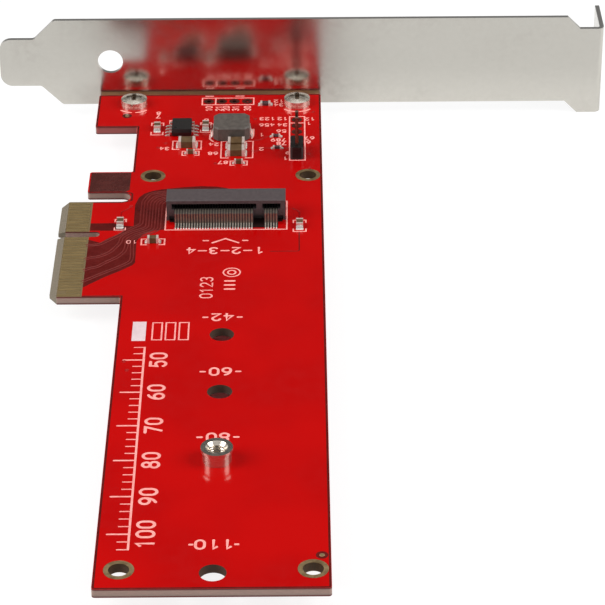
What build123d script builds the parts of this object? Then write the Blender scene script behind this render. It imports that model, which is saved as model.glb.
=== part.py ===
from build123d import *
import os

# Adapter card that carries a flat plug-in storage module on an expansion-slot card.
# Millimetres. X runs from the edge connector towards the free long edge, Y towards
# the bracket, Z up on the component side. The origin is the centre of the key
# notch's mouth, on the board's mid-plane.

# Board
BOARD_T = 1.57
BOARD_LOW_X = 12.58
BOARD_WIDTH = 35.98
BRACKET_FROM_KEY = 57.15
BRACKET_GAP = 1.05
BOARD_PAST_MODULE = 3.95
OUTER_CORNER_R = 0.5
INNER_CORNER_R = 0.4

# Edge connector tab and its neighbours
TAB_FAR_Y = 12.15
TAB_LENGTH = 34.3
TAB_CORNER = 1.4
KEY_WIDTH = 1.9
KEY_DEPTH = 7.65
KEY_END_FLAT = 0.1
BEVEL_LENGTH = 1.3
BEVEL_RISE = 0.45
SLOT_WIDTH = 3.72
SLOT_END_R = 1.6
GUARD_WIDTH = 7.95
GUARD_TIP_X = 4.46
CUTOUT_LENGTH = 18.54
SECTION_TIP_X = 4.36

# Edge contacts
CONTACT_PITCH = 1.0
CONTACT_WIDTH = 0.7
CONTACT_FIRST = 0.65
CONTACT_START_X = 1.4
CONTACT_END_X = 5.4
SHORT_START_X = 2.9
SHORT_CONTACT_NUMBER = 31
CONTACT_COUNT_BEFORE_KEY = 11
CONTACT_COUNT = 32
KEY_CONTACT_STEP = 3.0
COPPER_T = 0.05

# Plain and plated holes in the board
MOUNT_HOLE_R = 1.6
MOUNT_RING_R = 2.35
MOUNT_HOLE_INSET = 4.8
MOUNT_HOLE_FROM_BRACKET = 35.03
MOUNT_HOLE_LOW = 3.88
MOUNT_HOLE_HIGH = 2.76
PIN_PITCH = 2.54
PIN_HOLE_R = 0.5

# Storage module seat
MODULE_AXIS_X = 30.66
MODULE_EDGE_Y = 7.0
MODULE_LENGTHS = (42, 60, 80, 110)
MODULE_HOLE_R = 2.1

# Standoff and its nut
STANDOFF_HEIGHT = 2.5
STANDOFF_BODY_R = 2.35
STANDOFF_RIM_R = 2.6
STANDOFF_RIM_T = 0.5
STANDOFF_BORE_R = 1.25
STANDOFF_MOUTH_R = 1.8
STUD_R = 2.0
NUT_WIDTH = 6.0
NUT_T = 1.3
THREAD_CLEARANCE = 0.03

# Module socket
SOCKET_HEIGHT = 4.2
SOCKET_BACK_Y = 9.45
SOCKET_FACE_Y = 4.9
SOCKET_END_GAP = 0.75
SOCKET_END_WALL = 0.95
SOCKET_SLOT_LOW = 2.3
SOCKET_SLOT_HIGH = 3.45
SOCKET_FOOT_Y = 5.6
SOCKET_UNDERCUT = 1.0
SOCKET_CORNER = 0.45
SOCKET_EDGE = 0.15
SEAT_CLEARANCE = 0.15
RIB_WIDTH = 1.1
POSITIONS = 75
KEY_FIRST = 59
KEY_LAST = 66
POSITION_PITCH = 0.25
LOWER_START_NUMBER = 1
UPPER_START_NUMBER = 2
SPRING_T = 0.15
SPRING_W = 0.22
GROUP_MARGIN = 0.14
LIP_FRONT_Y = 3.45
LIP_LOW = 0.25
FOOT_LENGTH = 1.5
CONTACT_POINT_RISE = 0.28
CONTACT_RAMP = 0.7
CONTACT_TIP = 0.5
CONTACT_TIP_GAP = 0.2
PEG_R = 0.55
PEG_INSET = 2.2
PEG_LENGTH = 1.2
PEG_CLEARANCE = 0.05
HOLD_DOWN_T = 0.2
HOLD_DOWN_LENGTH = 2.2
HOLD_DOWN_FOOT = 0.8
HOLD_DOWN_RISE = 1.6

# Bracket
STEEL_T = 0.86
BRACKET_WIDTH = 18.42
BRACKET_LENGTH = 120.02
TAIL_TIP_X = -15.24
TAIL_WIDTH = 10.16
TAIL_END_R = 2.4
SHOULDER = 4.13
UPPER_SHOULDER_X = -8.3
LOWER_SHOULDER_X = -7.2
SHOULDER_R = 1.0
STEP_FROM_FLANGE = 7.28
STEP_Z = 2.54
FLANGE_DEPTH = 10.9
FOLD_INNER_R = 0.4
SCREW_SLOT_WIDTH = 4.42
SCREW_SLOT_DEPTH = 6.5
SCREW_SLOT_Y = 6.0
LAMP_HOLE_R = 2.5
LAMP_HOLE_X = 6.74
LAMP_HOLE_RISE = 6.95
LUG_WIDTH = 7.6
LUG_LENGTH = 8.6
LUG_CORNER_R = 1.2
RELIEF_WIDTH = 0.8
RELIEF_RISE = 1.6

# Bracket screws
SCREW_X = (11.51, 43.86)
SCREW_FROM_BRACKET = 5.15
SCREW_SHANK_R = 1.47
SCREW_LENGTH = 4.0
SCREW_HEAD_R = 2.55
SCREW_HEAD_H = 1.9
SCREW_DOME_H = 0.6
RECESS_SPAN = 3.0
RECESS_WIDTH = 0.8
RECESS_DEPTH = 1.0
BOARD_SCREW_HOLE_R = 1.6

# Voltage regulator
REGULATOR_X = 21.36
REGULATOR_FROM_BRACKET = 16.65
REGULATOR_LENGTH = 4.9
REGULATOR_WIDTH = 3.9
REGULATOR_LOW = 0.15
REGULATOR_HIGH = 1.6
REGULATOR_LEAD_COUNT = 4
REGULATOR_PITCH = 1.27
LEAD_T = 0.2
LEAD_W = 0.42
LEAD_REACH = 1.05
LEAD_FOOT = 0.6
MOULD_DRAFT = 7
PIN_ONE_R = 0.3
PIN_ONE_DEPTH = 0.1
PIN_ONE_INSET = 0.75

# Power inductor
INDUCTOR_X = 31.11
INDUCTOR_FROM_BRACKET = 17.9
INDUCTOR_LENGTH = 7.0
INDUCTOR_DEPTH = 6.6
INDUCTOR_HEIGHT = 2.85
INDUCTOR_CHAMFER = 0.9
INDUCTOR_EDGE = 0.25
INDUCTOR_STRIP_T = 0.15
INDUCTOR_STRIP_W = 3.0
INDUCTOR_STRIP_RISE = 1.4
INDUCTOR_STRIP_UNDER = 1.6

# Chip parts: length, width, height, terminal length
CHIP_PLATING = 0.04
LARGE_CHIP = (3.2, 2.5, 1.35, 0.5)
MIDDLE_CHIP = (2.0, 1.25, 1.1, 0.4)
SMALL_CHIP = (1.6, 0.8, 0.8, 0.3)
MIDDLE_RESISTOR = (2.0, 1.25, 0.55, 0.4)
SMALL_RESISTOR = (1.6, 0.8, 0.45, 0.3)

# Chip places: X, and Y back from the bracket's inner face
INPUT_CAPACITOR = (22.5, 22.6)
OUTPUT_CAPACITOR = (32.05, 22.95)
OUTPUT_CAPACITOR_PITCH = 3.15
SMALL_CAPACITORS = ((32.6, 30.05), (23.3, 25.95))
MIDDLE_CAPACITORS_ALONG_Y = ((25.95, 15.25), (16.5, 15.75))
MIDDLE_RESISTORS = ((37.55, 5.5),)
SMALL_RESISTORS = ((39.7, 19.2), (39.95, 24.05))

# Chip places: X, and Y back from the module's edge in the socket
SOCKET_CAPACITORS_ALONG_X = ((17.5, 9.9),)
SOCKET_CAPACITORS_ALONG_Y = ((44.15, 4.35), (11.22, 3.5))

# Pin header
HEADER_FROM_EDGE = 4.8
HEADER_FROM_BRACKET = 27.5
HEADER_PIN_COUNT = 2
HEADER_PLACE_COUNT = 7
HEADER_HEIGHT = 2.54
HEADER_BEVEL = 0.4
PIN_WIDTH = 0.64
PIN_RISE = 6.0
PIN_TAIL = 1.5
PIN_TIP = 0.15
SOLDER_R = 0.8
SOLDER_TOP_R = 0.5
SOLDER_H = 0.9
EMPTY_ROW_X = 30.12
EMPTY_ROW_FROM_BRACKET = 4.1
EMPTY_ROW_COUNT = 4

# Levels and places that follow from the sizes above
TOP_Z = BOARD_T / 2
UNDER_Z = -BOARD_T / 2
BOARD_TOP_X = BOARD_LOW_X + BOARD_WIDTH
HEADER_X = BOARD_TOP_X - HEADER_FROM_EDGE
BOARD_FAR_Y = BRACKET_FROM_KEY - BRACKET_GAP
BOARD_NEAR_Y = MODULE_EDGE_Y - MODULE_LENGTHS[-1] - BOARD_PAST_MODULE
TAB_NEAR_Y = TAB_FAR_Y - TAB_LENGTH
GUARD_NEAR_Y = TAB_FAR_Y + SLOT_WIDTH
GUARD_FAR_Y = GUARD_NEAR_Y + GUARD_WIDTH
SECTION_NEAR_Y = GUARD_FAR_Y + CUTOUT_LENGTH
SCREW_Y = BRACKET_FROM_KEY - SCREW_FROM_BRACKET
STANDOFF_Y = MODULE_EDGE_Y - MODULE_LENGTHS[2]
SOCKET_SLOT_WIDTH = (POSITIONS - 1) * POSITION_PITCH + 2 * SOCKET_END_GAP
SOCKET_WIDTH = SOCKET_SLOT_WIDTH + 2 * SOCKET_END_WALL
KEY_X = MODULE_AXIS_X + ((KEY_FIRST + KEY_LAST) - (POSITIONS + 1)) / 2 * POSITION_PITCH
BRACKET_LOW_Z = UNDER_Z - STEEL_T
BRACKET_HIGH_Z = BRACKET_LOW_Z + BRACKET_WIDTH
FLANGE_X = TAIL_TIP_X + BRACKET_LENGTH
STEP_X = FLANGE_X - STEP_FROM_FLANGE
FOLD_OUTER_R = FOLD_INNER_R + STEEL_T


def block(x0, x1, y0, y1, z0, z1):
    """A box between three pairs of limits."""
    centre = ((x0 + x1) / 2, (y0 + y1) / 2, (z0 + z1) / 2)
    return Pos(*centre) * Box(x1 - x0, y1 - y0, z1 - z0)


def rod(x, y, z0, z1, radius):
    """An upright cylinder between two levels."""
    return Pos(x, y, (z0 + z1) / 2) * Cylinder(radius, z1 - z0)


def tube(x, y, z0, z1, outer, inner):
    """An upright tube between two levels."""
    return rod(x, y, z0, z1, outer) - rod(x, y, z0, z1, inner)


def outline(points):
    """A flat face on the XY plane inside a closed line of points."""
    return make_face(Polyline(*points, close=True))


def near(shape, places, reach=0.01):
    """The corners of a flat face that lie at the given places."""
    found = [v for v in shape.vertices() for x, y in places if abs(v.X - x) + abs(v.Y - y) < reach]
    return found


def across_x(face, x0, x1):
    """Extrude a face drawn in Y and Z from one X to another."""
    frame = Plane(origin=(x0, 0, 0), x_dir=(0, 1, 0), z_dir=(1, 0, 0))
    return extrude(frame * face, x1 - x0)


def along_y(face, y0, y1):
    """Extrude a face drawn in X and Z from one Y to another."""
    frame = Plane(origin=(0, y1, 0), x_dir=(1, 0, 0), z_dir=(0, -1, 0))
    return extrude(frame * face, y1 - y0)


def strip(points, thickness):
    """The side view of a thin sheet strip bent sharply along its middle line."""
    middle = [Vector(*point) for point in points]
    runs = [(b - a).normalized() for a, b in zip(middle, middle[1:])]
    sides = [Vector(-run.Y, run.X) for run in runs]
    offsets = [sides[0]]
    for before, after in zip(sides, sides[1:]):
        offsets.append((before + after) / (1 + before.dot(after)))
    offsets.append(sides[-1])
    left = [point + offset * thickness / 2 for point, offset in zip(middle, offsets)]
    right = [point - offset * thickness / 2 for point, offset in zip(middle, offsets)]
    return outline([(point.X, point.Y) for point in left + right[::-1]])


def join(pieces):
    """Fuse a list of shapes into one."""
    whole = pieces[0]
    for piece in pieces[1:]:
        whole = whole + piece
    return whole


def group(pieces):
    """Keep several separate solids together in one node."""
    solids = [solid for piece in pieces for solid in piece.solids()]
    return Compound(children=solids)


# Places of the repeated features

def module_hole_ys():
    """The Y of each module screw hole, one for every module length."""
    return [MODULE_EDGE_Y - length for length in MODULE_LENGTHS]


def mount_holes():
    """The centres of the four plated mounting holes."""
    xs = (BOARD_LOW_X + MOUNT_HOLE_LOW, BOARD_TOP_X - MOUNT_HOLE_HIGH)
    ys = (BOARD_NEAR_Y + MOUNT_HOLE_INSET, BRACKET_FROM_KEY - MOUNT_HOLE_FROM_BRACKET)
    return [(x, y) for x in xs for y in ys]


def header_places():
    """The centres of the header's column of pin places, starting farthest from the bracket."""
    first = BRACKET_FROM_KEY - HEADER_FROM_BRACKET
    return [(HEADER_X, first + i * PIN_PITCH) for i in range(HEADER_PLACE_COUNT)]


def header_pins():
    """The places of the column that hold the fitted header's pins."""
    return header_places()[:HEADER_PIN_COUNT]


def empty_row():
    """The centres of the row of pin holes near the bracket that holds no header."""
    y = BRACKET_FROM_KEY - EMPTY_ROW_FROM_BRACKET
    half = (EMPTY_ROW_COUNT - 1) / 2
    return [(EMPTY_ROW_X + (i - half) * PIN_PITCH, y) for i in range(EMPTY_ROW_COUNT)]


def contact_rows():
    """Number and Y centre of each edge contact, counted from the bracket end."""
    rows = []
    for number in range(1, CONTACT_COUNT + 1):
        skipped = KEY_CONTACT_STEP - CONTACT_PITCH if number > CONTACT_COUNT_BEFORE_KEY else 0
        rows.append((number, TAB_FAR_Y - CONTACT_FIRST - (number - 1) * CONTACT_PITCH - skipped))
    return rows


def position_x(position):
    """The X of a socket position."""
    return MODULE_AXIS_X + (position - (POSITIONS + 1) / 2) * POSITION_PITCH


def socket_positions(first):
    """Every second position from the first, without those under the key rib."""
    return [n for n in range(first, POSITIONS + 1, 2) if not KEY_FIRST <= n <= KEY_LAST]


def socket_groups(first):
    """The X limits of the two groups of contacts on each side of the rib."""
    reach = SPRING_W / 2 + GROUP_MARGIN
    low = [n for n in socket_positions(first) if n < KEY_FIRST]
    high = [n for n in socket_positions(first) if n > KEY_LAST]
    return [(position_x(g[0]) - reach, position_x(g[-1]) + reach) for g in (low, high)]


# The board and what is plated on it

def board():
    """The laminate with its tabs, key notch, bevelled tip and holes."""
    corners = [
        (BOARD_LOW_X, BOARD_NEAR_Y), (BOARD_TOP_X, BOARD_NEAR_Y),
        (BOARD_TOP_X, BOARD_FAR_Y), (SECTION_TIP_X, BOARD_FAR_Y),
        (SECTION_TIP_X, SECTION_NEAR_Y), (BOARD_LOW_X, SECTION_NEAR_Y),
        (BOARD_LOW_X, GUARD_FAR_Y), (GUARD_TIP_X, GUARD_FAR_Y),
        (GUARD_TIP_X, GUARD_NEAR_Y), (BOARD_LOW_X, GUARD_NEAR_Y),
        (BOARD_LOW_X, TAB_FAR_Y), (0, TAB_FAR_Y),
        (0, TAB_NEAR_Y), (BOARD_LOW_X, TAB_NEAR_Y),
    ]
    face = outline(corners)
    face = fillet(near(face, corners[:5] + corners[7:9]), OUTER_CORNER_R)
    face = fillet(near(face, [corners[5], corners[6], corners[13]]), INNER_CORNER_R)
    face = fillet(near(face, corners[9:11]), SLOT_END_R)
    face = chamfer(near(face, corners[11:13]), TAB_CORNER)
    slab = extrude(Pos(0, 0, UNDER_Z) * face, BOARD_T)
    notch = Pos(KEY_DEPTH / 2, 0) * Rectangle(KEY_DEPTH, KEY_WIDTH)
    notch = fillet(notch.vertices().sort_by(Axis.X)[-2:], KEY_WIDTH / 2 - KEY_END_FLAT / 2)
    slab = slab - extrude(Pos(0, 0, UNDER_Z) * notch, BOARD_T)
    for side in (1, -1):
        wedge = outline([(0, side * TOP_Z), (BEVEL_LENGTH, side * TOP_Z), (0, side * (TOP_Z - BEVEL_RISE))])
        slab = slab - along_y(wedge, TAB_NEAR_Y, TAB_FAR_Y)
    for x, y in mount_holes():
        slab = slab - rod(x, y, UNDER_Z, TOP_Z, MOUNT_HOLE_R + COPPER_T)
    for x, y in header_places() + empty_row():
        slab = slab - rod(x, y, UNDER_Z, TOP_Z, PIN_HOLE_R)
    for y in module_hole_ys():
        slab = slab - rod(MODULE_AXIS_X, y, UNDER_Z, TOP_Z, MODULE_HOLE_R)
    for x in SCREW_X:
        slab = slab - rod(x, SCREW_Y, UNDER_Z, TOP_Z, BOARD_SCREW_HOLE_R)
    for x in peg_xs():
        slab = slab - rod(x, peg_y(), UNDER_Z, TOP_Z, PEG_R + PEG_CLEARANCE)
    return slab


def edge_contacts(side):
    """The gold pads on one face of the edge connector."""
    pads = []
    for number, y in contact_rows():
        start = SHORT_START_X if number == SHORT_CONTACT_NUMBER else CONTACT_START_X
        z0, z1 = sorted((side * TOP_Z, side * (TOP_Z + COPPER_T)))
        pads.append(block(start, CONTACT_END_X, y - CONTACT_WIDTH / 2, y + CONTACT_WIDTH / 2, z0, z1))
    return group(pads)


def plated_hole(x, y):
    """A mounting hole's copper lining with its ring on both faces."""
    low = UNDER_Z - COPPER_T
    high = TOP_Z + COPPER_T
    lining = tube(x, y, low, high, MOUNT_HOLE_R + COPPER_T, MOUNT_HOLE_R)
    upper = tube(x, y, TOP_Z, high, MOUNT_RING_R, MOUNT_HOLE_R)
    lower = tube(x, y, low, UNDER_Z, MOUNT_RING_R, MOUNT_HOLE_R)
    return lining + upper + lower


# The socket

def peg_y():
    """The Y of the socket's locating pegs, in the middle of its foot."""
    return (SOCKET_FOOT_Y + SOCKET_BACK_Y) / 2


def peg_xs():
    """The X of the two locating pegs, one near each end of the socket."""
    reach = SOCKET_WIDTH / 2 - PEG_INSET
    return (MODULE_AXIS_X - reach, MODULE_AXIS_X + reach)


def hold_down(side):
    """One solder hold-down: a plate up the socket's end with a foot on the board."""
    wall = MODULE_AXIS_X + side * SOCKET_WIDTH / 2
    reach = side * (HOLD_DOWN_FOOT + HOLD_DOWN_T)
    y0 = peg_y() - HOLD_DOWN_LENGTH / 2
    y1 = peg_y() + HOLD_DOWN_LENGTH / 2
    xs = sorted((wall, wall - side * HOLD_DOWN_T))
    feet = sorted((wall, wall - reach))
    plate = block(xs[0], xs[1], y0, y1, TOP_Z, TOP_Z + HOLD_DOWN_RISE)
    foot = block(feet[0], feet[1], y0, y1, TOP_Z, TOP_Z + HOLD_DOWN_T)
    return plate + foot


def socket_housing():
    """The socket's plastic body with its slot, rib, lip, channels and pegs."""
    z = TOP_Z
    left = MODULE_AXIS_X - SOCKET_WIDTH / 2
    right = MODULE_AXIS_X + SOCKET_WIDTH / 2
    top = z + SOCKET_HEIGHT
    side_view = outline([
        (SOCKET_FACE_Y, z + SOCKET_UNDERCUT), (SOCKET_FACE_Y, top - SOCKET_EDGE),
        (SOCKET_FACE_Y + SOCKET_EDGE, top), (SOCKET_BACK_Y - SOCKET_EDGE, top),
        (SOCKET_BACK_Y, top - SOCKET_EDGE), (SOCKET_BACK_Y, z),
        (SOCKET_FOOT_Y, z), (SOCKET_FOOT_Y, z + SOCKET_UNDERCUT),
    ])
    body = across_x(side_view, left, right)
    for x0, x1 in ((left, left + SOCKET_CORNER), (right - SOCKET_CORNER, right)):
        body = body + block(x0, x1, SOCKET_FACE_Y, SOCKET_FOOT_Y, z, z + SOCKET_UNDERCUT)
    channel_low = SOCKET_SLOT_LOW - SPRING_T
    slot_back = MODULE_EDGE_Y + SEAT_CLEARANCE
    for x0, x1 in socket_groups(LOWER_START_NUMBER):
        body = body + block(x0, x1, LIP_FRONT_Y, SOCKET_FOOT_Y, z + LIP_LOW, z + SOCKET_SLOT_LOW)
    rib = KEY_X
    half = SOCKET_SLOT_WIDTH / 2
    mouths = ((MODULE_AXIS_X - half, rib - RIB_WIDTH / 2), (rib + RIB_WIDTH / 2, MODULE_AXIS_X + half))
    for x0, x1 in mouths:
        slot = block(x0, x1, LIP_FRONT_Y, slot_back, z + SOCKET_SLOT_LOW, z + SOCKET_SLOT_HIGH)
        body = body - slot
    for x0, x1 in socket_groups(LOWER_START_NUMBER):
        body = body - block(x0, x1, LIP_FRONT_Y, slot_back, z + channel_low, z + SOCKET_SLOT_LOW)
    for x0, x1 in socket_groups(UPPER_START_NUMBER):
        ceiling = z + SOCKET_SLOT_HIGH + SPRING_T
        body = body - block(x0, x1, SOCKET_FOOT_Y, SOCKET_BACK_Y, z + SOCKET_SLOT_HIGH, ceiling)
        body = body - block(x0, x1, SOCKET_BACK_Y - SPRING_T, SOCKET_BACK_Y, z, ceiling)
    for x in peg_xs():
        body = body + rod(x, peg_y(), z - PEG_LENGTH, z, PEG_R)
    for side in (-1, 1):
        body = body - hold_down(side)
    return body


def lower_spring(x):
    """A lower contact: foot, upright tail, run along the lip and raised tip."""
    z = TOP_Z
    half = SPRING_T / 2
    tail_y = LIP_FRONT_Y - half
    run_z = z + SOCKET_SLOT_LOW - half
    tip_y = MODULE_EDGE_Y - CONTACT_TIP_GAP
    peak_y = tip_y - CONTACT_TIP
    points = [
        (tail_y - FOOT_LENGTH, z + half), (tail_y, z + half), (tail_y, run_z),
        (peak_y - CONTACT_RAMP, run_z), (peak_y, run_z + CONTACT_POINT_RISE),
        (tip_y, run_z + CONTACT_POINT_RISE / 2),
    ]
    return across_x(strip(points, SPRING_T), x - SPRING_W / 2, x + SPRING_W / 2)


def upper_spring(x):
    """An upper contact: foot behind the socket, tail up its back and tip in the slot."""
    z = TOP_Z
    half = SPRING_T / 2
    tail_y = SOCKET_BACK_Y - half
    run_z = z + SOCKET_SLOT_HIGH + half
    tip_y = SOCKET_FOOT_Y + half
    peak_y = tip_y + CONTACT_TIP
    points = [
        (tail_y + FOOT_LENGTH, z + half), (tail_y, z + half), (tail_y, run_z),
        (peak_y + CONTACT_RAMP, run_z), (peak_y, run_z - CONTACT_POINT_RISE),
        (tip_y, run_z - CONTACT_POINT_RISE / 2),
    ]
    return across_x(strip(points, SPRING_T), x - SPRING_W / 2, x + SPRING_W / 2)


# The standoff that holds the module's free end

def standoff():
    """A round spacer with a rim, a bored thread and a stud through the board."""
    x, y = MODULE_AXIS_X, STANDOFF_Y
    top = TOP_Z + STANDOFF_HEIGHT
    low = UNDER_Z - NUT_T
    body = rod(x, y, TOP_Z, top, STANDOFF_BODY_R)
    body = body + rod(x, y, top - STANDOFF_RIM_T, top, STANDOFF_RIM_R)
    body = body + rod(x, y, low, TOP_Z, STUD_R)
    body = body - rod(x, y, low, top, STANDOFF_BORE_R)
    flare = STANDOFF_MOUTH_R - STANDOFF_BORE_R
    mouth = Pos(x, y, top - flare / 2) * Cone(STANDOFF_BORE_R, STANDOFF_MOUTH_R, flare)
    return body - mouth


def standoff_nut():
    """The thin hexagon nut under the board."""
    low = UNDER_Z - NUT_T
    hexagon = RegularPolygon(NUT_WIDTH / 2, 6, major_radius=False)
    nut = extrude(Pos(MODULE_AXIS_X, STANDOFF_Y, low) * hexagon, NUT_T)
    return nut - rod(MODULE_AXIS_X, STANDOFF_Y, low, UNDER_Z, STUD_R + THREAD_CLEARANCE)


# The bracket and its screws

def bracket_plate():
    """The flat of the bracket: tail, shoulders, long field and the stepped end."""
    low, high = BRACKET_LOW_Z, BRACKET_HIGH_Z
    tail_low = low + SHOULDER
    tail_high = tail_low + TAIL_WIDTH
    end_x = FLANGE_X - FOLD_OUTER_R
    corners = [
        (TAIL_TIP_X, tail_low), (LOWER_SHOULDER_X, tail_low),
        (LOWER_SHOULDER_X + SHOULDER, low), (STEP_X, low),
        (STEP_X + STEP_Z, low - STEP_Z), (end_x, low - STEP_Z),
        (end_x, high - STEP_Z), (STEP_X + STEP_Z, high - STEP_Z),
        (STEP_X, high), (UPPER_SHOULDER_X + SHOULDER, high),
        (UPPER_SHOULDER_X, tail_high), (TAIL_TIP_X, tail_high),
    ]
    face = outline(corners)
    face = fillet(near(face, [corners[0], corners[11]]), TAIL_END_R)
    face = fillet(near(face, corners[1:3] + corners[9:11]), SHOULDER_R)
    return along_y(face, BRACKET_FROM_KEY, BRACKET_FROM_KEY + STEEL_T)


def fold(run_a, run_b):
    """An L of sheet seen end on: legs of the given lengths from the outer corner."""
    line = FilletPolyline((run_a, STEEL_T / 2), (STEEL_T / 2, STEEL_T / 2), (STEEL_T / 2, run_b),
                          radius=FOLD_INNER_R + STEEL_T / 2)
    return trace(line, STEEL_T)


def bracket_flange():
    """The folded end that lies on the chassis, with its open screw slot."""
    low = BRACKET_LOW_Z - STEP_Z
    section = fold(FOLD_OUTER_R, FLANGE_DEPTH)
    frame = Plane(origin=(FLANGE_X, BRACKET_FROM_KEY, low), x_dir=(-1, 0, 0), z_dir=(0, 0, -1))
    flange = extrude(frame * section, -BRACKET_WIDTH)
    centre_y = BRACKET_FROM_KEY + SCREW_SLOT_Y
    half = SCREW_SLOT_WIDTH / 2
    mouth = block(FLANGE_X - STEEL_T, FLANGE_X, centre_y - half, centre_y + half,
                  low, low + SCREW_SLOT_DEPTH - half)
    end = Pos(FLANGE_X - STEEL_T / 2, centre_y, low + SCREW_SLOT_DEPTH - half)
    return flange - mouth - end * Rot(0, 90, 0) * Cylinder(half, STEEL_T)


def bracket_lug(x):
    """A lug folded in under the board, tapped for its screw."""
    section = fold(FOLD_OUTER_R, LUG_LENGTH + STEEL_T)
    frame = Plane(origin=(x - LUG_WIDTH / 2, BRACKET_FROM_KEY + STEEL_T, BRACKET_LOW_Z),
                  x_dir=(0, 0, 1), z_dir=(1, 0, 0))
    lug = extrude(frame * section, LUG_WIDTH)
    tip = lug.edges().filter_by(Axis.Z).sort_by(Axis.Y)[:2]
    lug = fillet(tip, LUG_CORNER_R)
    return lug - rod(x, SCREW_Y, BRACKET_LOW_Z, UNDER_Z, SCREW_SHANK_R + THREAD_CLEARANCE)


def bracket():
    """The whole folded bracket in one piece."""
    steel = bracket_plate() + bracket_flange()
    y0, y1 = BRACKET_FROM_KEY, BRACKET_FROM_KEY + STEEL_T
    for x in SCREW_X:
        reach = LUG_WIDTH / 2 + RELIEF_WIDTH
        fold_top = BRACKET_LOW_Z + FOLD_OUTER_R
        steel = steel - block(x - reach, x + reach, y0, y1, BRACKET_LOW_Z, fold_top)
        for side in (-1, 1):
            edge = x + side * LUG_WIDTH / 2
            xs = sorted((edge, edge + side * RELIEF_WIDTH))
            steel = steel - block(xs[0], xs[1], y0, y1, BRACKET_LOW_Z, BRACKET_LOW_Z + RELIEF_RISE)
        steel = steel + bracket_lug(x)
    lamp = Pos(LAMP_HOLE_X, (y0 + y1) / 2, TOP_Z + LAMP_HOLE_RISE) * Rot(90, 0, 0)
    return steel - lamp * Cylinder(LAMP_HOLE_R, STEEL_T)


def bracket_screw(x):
    """A pan-head screw with a cross recess, down through the board into a lug."""
    y = SCREW_Y
    rim = TOP_Z + SCREW_HEAD_H - SCREW_DOME_H
    head = rod(x, y, TOP_Z, rim, SCREW_HEAD_R)
    sphere_r = (SCREW_HEAD_R ** 2 + SCREW_DOME_H ** 2) / (2 * SCREW_DOME_H)
    ball = Pos(x, y, rim + SCREW_DOME_H - sphere_r) * Sphere(sphere_r)
    dome = ball & rod(x, y, rim, rim + SCREW_DOME_H, SCREW_HEAD_R)
    shank = rod(x, y, TOP_Z - SCREW_LENGTH, TOP_Z, SCREW_SHANK_R)
    screw = head + dome + shank
    top = TOP_Z + SCREW_HEAD_H
    for wide, deep in ((RECESS_SPAN, RECESS_WIDTH), (RECESS_WIDTH, RECESS_SPAN)):
        screw = screw - block(x - wide / 2, x + wide / 2, y - deep / 2, y + deep / 2,
                              top - RECESS_DEPTH, top)
    return screw


# The regulator and the inductor

def regulator_body():
    """The moulded body, drafted up and down from its parting line, with a pin-one dimple."""
    x = REGULATOR_X
    y = BRACKET_FROM_KEY - REGULATOR_FROM_BRACKET
    middle = TOP_Z + (REGULATOR_LOW + REGULATOR_HIGH) / 2
    rise = (REGULATOR_HIGH - REGULATOR_LOW) / 2
    face = Rectangle(REGULATOR_WIDTH, REGULATOR_LENGTH)
    upper = extrude(Pos(x, y, middle) * face, rise, taper=MOULD_DRAFT)
    lower = extrude(Pos(x, y, middle) * face, -rise, taper=MOULD_DRAFT)
    dimple = rod(x - REGULATOR_WIDTH / 2 + PIN_ONE_INSET, y - REGULATOR_LENGTH / 2 + PIN_ONE_INSET,
                 TOP_Z + REGULATOR_HIGH - PIN_ONE_DEPTH, TOP_Z + REGULATOR_HIGH, PIN_ONE_R)
    return upper + lower - dimple


def regulator_lead(side, index):
    """One gull-wing lead, from the parting line down to its foot on the board."""
    y = BRACKET_FROM_KEY - REGULATOR_FROM_BRACKET + (index - (REGULATOR_LEAD_COUNT - 1) / 2) * REGULATOR_PITCH
    edge = REGULATOR_WIDTH / 2
    middle = TOP_Z + (REGULATOR_LOW + REGULATOR_HIGH) / 2
    knee = edge + LEAD_REACH - LEAD_FOOT
    points = [
        (edge, middle), (knee - LEAD_T / 2, middle),
        (knee, TOP_Z + LEAD_T / 2), (edge + LEAD_REACH, TOP_Z + LEAD_T / 2),
    ]
    placed = [(REGULATOR_X + side * u, w) for u, w in points]
    return along_y(strip(placed, LEAD_T), y - LEAD_W / 2, y + LEAD_W / 2)


def inductor_core():
    """The ferrite block, cut at its four corners and eased round the top."""
    y = BRACKET_FROM_KEY - INDUCTOR_FROM_BRACKET
    face = Rectangle(INDUCTOR_LENGTH, INDUCTOR_DEPTH)
    face = chamfer(face.vertices(), INDUCTOR_CHAMFER)
    low = TOP_Z + INDUCTOR_STRIP_T
    core = extrude(Pos(INDUCTOR_X, y, low) * face, INDUCTOR_HEIGHT - INDUCTOR_STRIP_T)
    return chamfer(core.faces().sort_by(Axis.Z)[-1].edges(), INDUCTOR_EDGE)


def inductor_strip(side):
    """A flat terminal under one end of the core, turned up against its side."""
    y = BRACKET_FROM_KEY - INDUCTOR_FROM_BRACKET
    outer = INDUCTOR_X + side * (INDUCTOR_LENGTH / 2 + INDUCTOR_STRIP_T)
    inner = outer - side * INDUCTOR_STRIP_T
    under = outer - side * (INDUCTOR_STRIP_T + INDUCTOR_STRIP_UNDER)
    y0, y1 = y - INDUCTOR_STRIP_W / 2, y + INDUCTOR_STRIP_W / 2
    flat = block(*sorted((outer, under)), y0, y1, TOP_Z, TOP_Z + INDUCTOR_STRIP_T)
    wall = block(*sorted((outer, inner)), y0, y1, TOP_Z, TOP_Z + INDUCTOR_STRIP_RISE)
    return flat + wall


# Chip parts, each a body and two plated ends

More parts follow.
